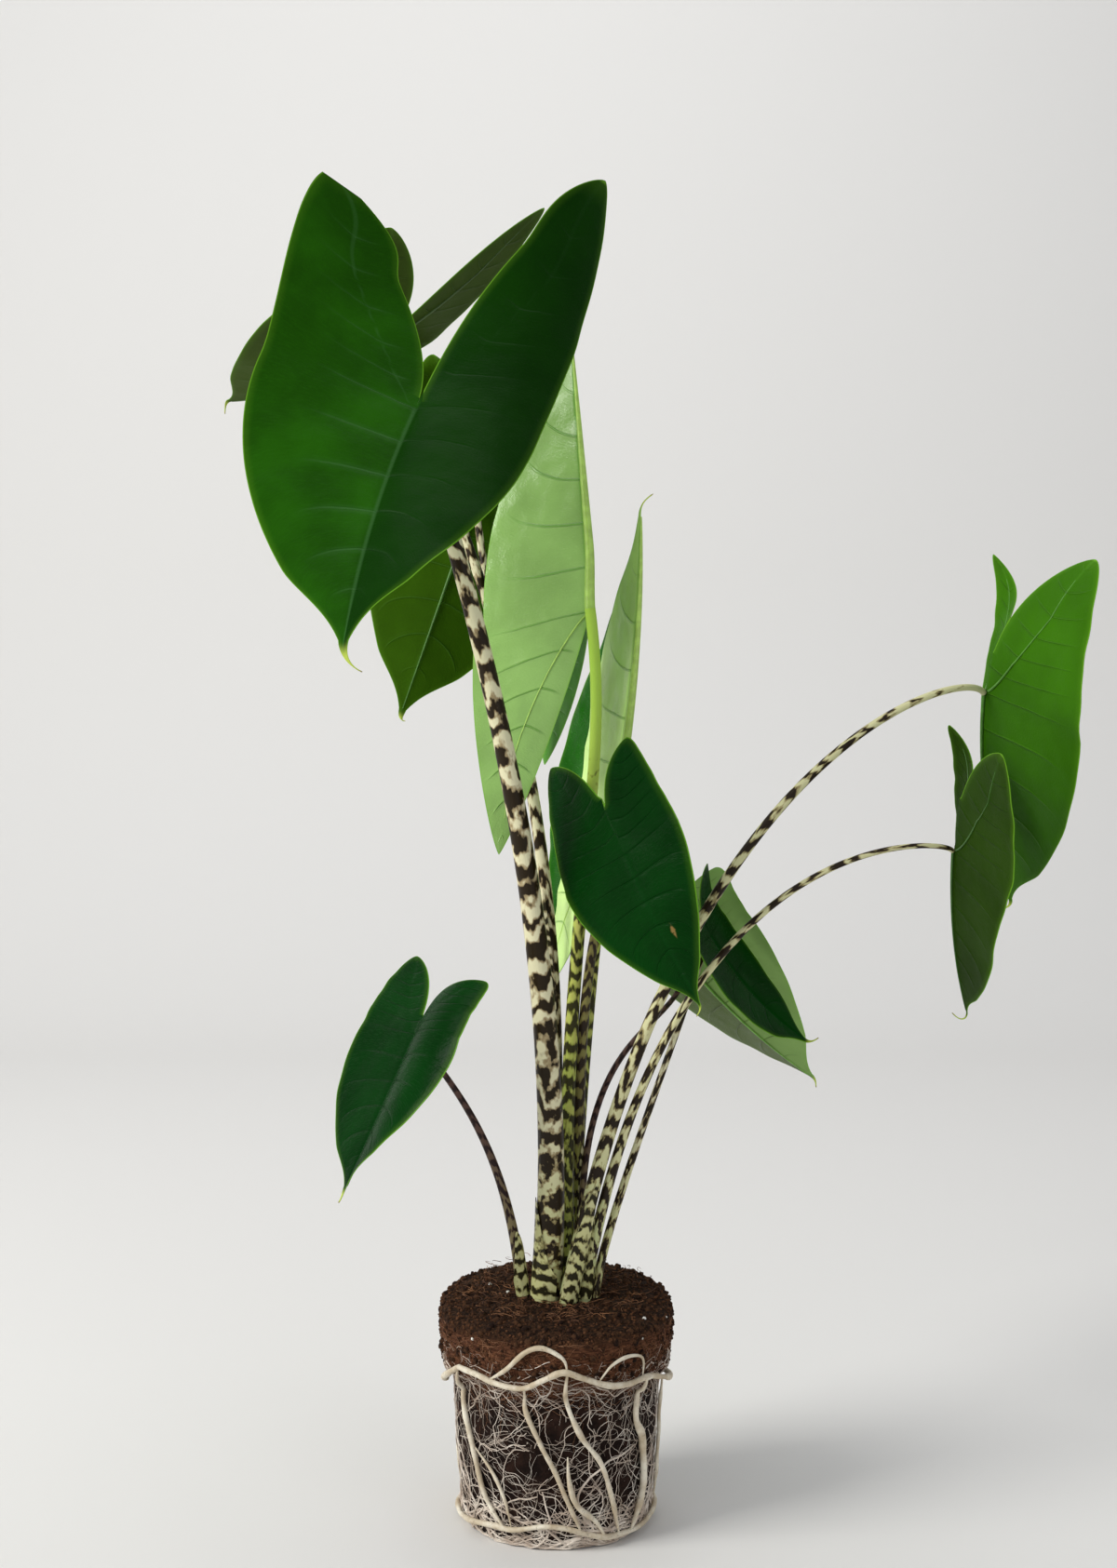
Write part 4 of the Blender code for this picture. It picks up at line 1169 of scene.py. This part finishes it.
def soil_profile():
    """Radius and height every SOIL_STEP mm, down the ball's outline."""
    line = np.array(BALL_TOP + BALL_RIM + BALL_BODY + ((BALL_FOOT, 0.0),), float)
    out = []
    for a, b in zip(line[:-1], line[1:]):
        count = max(1, round(float(np.linalg.norm(b - a)) / SOIL_STEP))
        out.extend(a + (b - a) * (k + 1) / count for k in range(count))
    return out


def soil_point(azimuth, radius, height):
    """Point of the ball with the roughness of its crumbs."""
    point = ball_point(azimuth, radius, height)
    if height <= FLAT_FOOT:
        return point
    outward = Vector((0, 0, 1) if height > TOP_EDGE else (*around(azimuth, 1), 0))
    rough = relief(point, 3.2, CRUMB_RELIEF) + relief(point, 1.3, CRUMB_RELIEF * 0.6)
    if BAND[0] < height < BAND[1]:
        rough += relief(point, 5.0, BAND_RELIEF)
    return point + np.array(outward) * rough * MM


def make_root_ball():
    verts, strewn = [np.array([0, 0, BALL_TOP[0][1]]) * MM], [1.0]
    profile = soil_profile()
    for radius, height in profile:
        for k in range(SOIL_SIDES):
            verts.append(soil_point(2 * math.pi * k / SOIL_SIDES, radius, height))
            strewn.append(1.0 if height > STREWN_FROM else 0.0)
    faces = [(0, 1 + k, 1 + (k + 1) % SOIL_SIDES) for k in range(SOIL_SIDES)]
    for i in range(len(profile) - 1):
        here, there = 1 + i * SOIL_SIDES, 1 + (i + 1) * SOIL_SIDES
        for k in range(SOIL_SIDES):
            m = (k + 1) % SOIL_SIDES
            faces.append((here + k, there + k, there + m, here + m))
    last = 1 + (len(profile) - 1) * SOIL_SIDES
    faces.append(tuple(last + k for k in reversed(range(SOIL_SIDES))))
    ball = new_piece("peat_ball", verts, faces, soil_material(), 50, {"strewn": strewn})
    settle(ball, SLOTS["root_ball"], "root_ball")
    for name, finish, number, least, most, roundness, uneven, seed, dark, light in CRUMBS:
        piece = run_tree(name, ball.data.copy(), SCATTER, {
            "Per square metre": number, "Smallest": least, "Largest": most,
            "Roundness": roundness, "Uneven": uneven, "Seed": seed,
            "Finish": crumb_material(finish, dark, light)})
        settle(piece, SLOTS["root_ball"])


# ---- fibres on the soil: lengths in mm
FIBRES = 260
FIBRE_POINTS = 7
FIBRE_REACH, FIBRE_LIMIT = 60, 62  # radius within which they start, and within which they stay
FIBRE_RADII = (0.22, 0.08)
FIBRE_LENGTH, FIBRE_RISE = (4, 14), (0.1, 1.5)
FIBRE_BEND = 0.35  # spread of the turn at each point
FIBRE_LIFT = 0.4


def top_point(x, y):
    """Point on the soil's top, x and y in mm."""
    return ball_point(math.atan2(x, -y), max(1.0, math.hypot(x, y)), BALL_TOP[0][1])


def make_fibres():
    """Short curved fibres that lie on the soil's top."""
    paths = []
    steps = FIBRE_POINTS - 1
    for _ in range(FIBRES):
        reach = FIBRE_REACH * math.sqrt(draw(0.02, 1))
        x, y = around(draw(-math.pi, math.pi), reach)
        heading, bend = draw(-math.pi, math.pi), float(rng.normal(0, FIBRE_BEND))
        length, rise = draw(*FIBRE_LENGTH), draw(*FIBRE_RISE)
        points = []
        for k in range(FIBRE_POINTS):
            inside = min(1.0, FIBRE_LIMIT / max(1.0, math.hypot(x, y)))
            lift = rise * math.sin(k / steps * math.pi) + FIBRE_LIFT
            points.append(top_point(x * inside, y * inside) + np.array([0, 0, lift]) * MM)
            x += math.cos(heading) * length / steps
            y += math.sin(heading) * length / steps
            heading += bend
        paths.append((np.array(points), np.linspace(*FIBRE_RADII, FIBRE_POINTS) * MM, False))
    fibres = sweep("peat_fibres", paths, 4,
                   root_material("peat_fibre", (0.08, 0.03, 0.012), (0.34, 0.15, 0.06), 0.8))
    settle(fibres, SLOTS["root_ball"])


# ---- roots: lengths in mm
ROOT_TAPER = 9  # steps over which a thick root thins out to its end
ROOT_POINT = 0.30  # its radius there, as a share
SWELL_MEAN = 0.84
LONG_SWELL, SHORT_SWELL = (0.26, 60), (0.16, 190)  # share of the radius, swells per metre
STRAND_RADIUS = 62.0  # of the ball, where the fine roots wander
STRAND_GAP = 0.35
STRAND_LOW = 1.2
STRAND_SWAY = (0.6, 0.5)  # its distance from the ball: the middle and the swing, as shares
STRAND_END = 0.45  # thickness of its end, as a share
START_HEADINGS, HEADING_SPREAD = (-1.4, 1.4), 0.5
FOOT_TURN, TOP_TURN = 0.5, 1.2  # turns away from the foot and back from the top
FEWEST_POINTS = 4
STRAND_SIDES, STOUT_RADIUS = (3, 4), 0.3  # sides of thin and of stout ones
PALE_HIGH, RUSTY_HIGH = 117, 126.0  # how high the pale and the rusty ones climb
PALE_SPREAD = 0.8  # the least height to which a pale one may climb, as a share
# name, strands, highest and lowest start, length, radius, bend, step, whether they are pale
FINE_ROOTS = (
    ("fine_roots", 300, 102, 6, (26, 90), (0.12, 0.30), 0.40, 2.6, True),
    ("foot_mat", 220, 24, 2, (24, 80), (0.18, 0.60), 0.36, 2.8, True),
    ("root_hairs", 480, 108, 4, (10, 42), (0.06, 0.12), 0.36, 2.6, True),
    ("collar_roots", 80, 108, 94, (20, 70), (0.18, 0.55), 0.28, 2.2, True),
    ("collar_hairs", 360, 116, 88, (8, 26), (0.06, 0.13), 0.5, 2.2, True),
    ("foot_roots", 60, 14, 4, (30, 110), (0.5, 1.1), 0.2, 3.0, True),
    ("rusty_roots", 420, 126, 84, (10, 44), (0.07, 0.17), 0.45, 2.6, False))


def swell(place):
    """A thick root's radius at a place, as a share of its own."""
    lumps_long, lumps_short = (share * noise.noise(Vector(place) * per_metre)
                               for share, per_metre in (LONG_SWELL, SHORT_SWELL))
    return SWELL_MEAN + lumps_long + lumps_short


def make_thick_roots():
    unroll = math.radians(1) * BALL_BODY[2][0]
    paths = []
    for radius, closed, way in ROOTS.values():
        flat = [(azimuth * unroll, height) for azimuth, height in way]
        if closed:
            flat.append((flat[0][0] + 360 * unroll, flat[0][1]))
        flat = smooth_path(flat, ROOT_STEP)
        if closed:
            flat = flat[:-1]
        path = np.array([root_point(math.radians(a / unroll), h, radius) for a, h in flat])
        uneven = np.array([swell(place) for place in path])
        ends = np.ones(len(path))
        if not closed:
            steps = np.arange(len(path))
            toward_end = np.minimum(steps, steps[::-1])
            ends = ROOT_POINT + (1 - ROOT_POINT) * np.clip(toward_end / ROOT_TAPER, 0, 1)
        paths.append((path, radius * MM * uneven * ends, closed))
    roots = sweep("thick_roots", paths, ROOT_SIDES,
                  root_material("thick_root", (0.52, 0.42, 0.28), (0.84, 0.78, 0.64)))
    settle(roots, SLOTS["roots"], "roots")


def wandering_strand(azimuth, height, heading, length, step, out, bend, high):
    """A fine root that wanders over the ball's side; heading 0 runs down, 90 to the right."""
    points = []
    for k in range(int(length / step)):
        off = out * (STRAND_SWAY[0] + STRAND_SWAY[1] * math.sin(k * 0.7 + azimuth * 9))
        points.append(side_point(azimuth, height, off))
        heading += float(rng.normal(0, bend))
        azimuth += math.sin(heading) * step / STRAND_RADIUS
        height -= math.cos(heading) * step
        if height < STRAND_LOW:
            height, heading = STRAND_LOW, heading + math.copysign(FOOT_TURN, math.sin(heading))
        if height > high:
            height, heading = high, math.copysign(TOP_TURN, heading)
    return np.array(points)


def make_fine_roots():
    pale = root_material("fine_root", (0.50, 0.40, 0.32), (0.86, 0.78, 0.68), 0.7)
    rusty = root_material("rusty_root", (0.16, 0.06, 0.025), (0.40, 0.20, 0.10), 0.8)
    for name, count, top, bottom, length, radius, bend, step, is_pale in FINE_ROOTS:
        paths = []
        for _ in range(count):
            azimuth, height = draw(-math.pi, math.pi), draw(bottom, top)
            heading = float(rng.choice(START_HEADINGS) + rng.normal(0, HEADING_SPREAD))
            reach, thick = draw(*length), draw(*radius)
            high = draw(PALE_SPREAD, 1) * PALE_HIGH if is_pale else RUSTY_HIGH
            points = wandering_strand(azimuth, height, heading, reach, step, thick + STRAND_GAP,
                                      bend, high)
            if len(points) >= FEWEST_POINTS:
                radii = thick * np.linspace(1.0, STRAND_END, len(points)) * MM
                paths.append((points, radii, False))
        sides = STRAND_SIDES[radius[1] > STOUT_RADIUS]
        settle(sweep(name, paths, sides, pale if is_pale else rusty), SLOTS["roots"])


# ---- stage, in metres
CAMERA_PLACE = (0.0014, -1.13, 0.4526)
CAMERA_LENS = 41.77
SENSOR_WIDTH = 36.0
FLOOR_SIZE = 14.0
FLOOR_COLOUR = (0.80, 0.79, 0.77)
BACKDROP, BACKDROP_BEND = 2.8, 0.9  # its distance behind the plant, radius of the bend
SKY_COLOUR, SKY_STRENGTH = (0.93, 0.95, 1.0, 1), 0.42
# name, place, aim, size, power, colour
LAMPS = (("key", (-2.7, -1.3, 2.0), (-0.02, 0, 0.5), 1.5, 92, (1.0, 0.99, 0.95)),
         ("fill", (1.6, -2.2, 1.0), (0.05, 0, 0.35), 1.6, 9, (0.94, 0.97, 1.0)),
         ("backdrop", (0.0, 0.6, 3.2), (0, 2.6, 0.9), 2.0, 24, (1.0, 1.0, 1.0)))


def make_stage():
    """Pale floor that curves up into a backdrop, a dim even surround and three soft lamps."""
    half = FLOOR_SIZE / 2
    line = [(-half, 0.0)]
    line += [(BACKDROP + BACKDROP_BEND * (math.sin(a) - 1), BACKDROP_BEND * (1 - math.cos(a)))
             for a in np.linspace(0, math.pi / 2, 13)]
    line.append((BACKDROP, half))
    verts = [(x, y, z) for y, z in line for x in (-half, half)]
    faces = [(2 * k, 2 * k + 1, 2 * k + 3, 2 * k + 2) for k in range(len(line) - 1)]
    new_piece("floor", verts, faces, Finish("floor", 0.8).done(FLOOR_COLOUR))
    world = bpy.data.worlds.new("studio")
    world.use_nodes = True
    sky = world.node_tree.nodes["Background"]
    sky.inputs["Color"].default_value = SKY_COLOUR
    sky.inputs["Strength"].default_value = SKY_STRENGTH
    bpy.context.scene.world = world
    bpy.context.scene.view_settings.view_transform = "Standard"
    for name, place, aim, size, power, colour in LAMPS:
        lamp = bpy.data.lights.new(name, "AREA")
        lamp.size = size
        lamp.energy = power
        lamp.color = colour
        direction = Vector(aim) - Vector(place)
        add_object(name, lamp, place, direction.to_track_quat("-Z", "Y").to_euler())


def make_camera():
    lens = bpy.data.cameras.new("camera")
    lens.lens = CAMERA_LENS
    lens.sensor_width = SENSOR_WIDTH
    bpy.context.scene.camera = add_object("camera", lens, CAMERA_PLACE, (math.pi / 2, 0, 0))


SLOTS = {part["node"]: part["material_slot"] for part in frame["record"]["subparts"]}
SWEEP = sweep_tree()
SCATTER = scatter_tree()
RIB_FINISH = {look: rib_material(look) for look in LEAF_LOOKS}

make_camera()
make_stage()
make_root_ball()
make_thick_roots()
make_fine_roots()
make_fibres()
make_sheaths()
for leaf_name, leaf_data in LEAVES.items():
    make_stalk(leaf_name, leaf_data)
    make_blade(leaf_name, leaf_data)
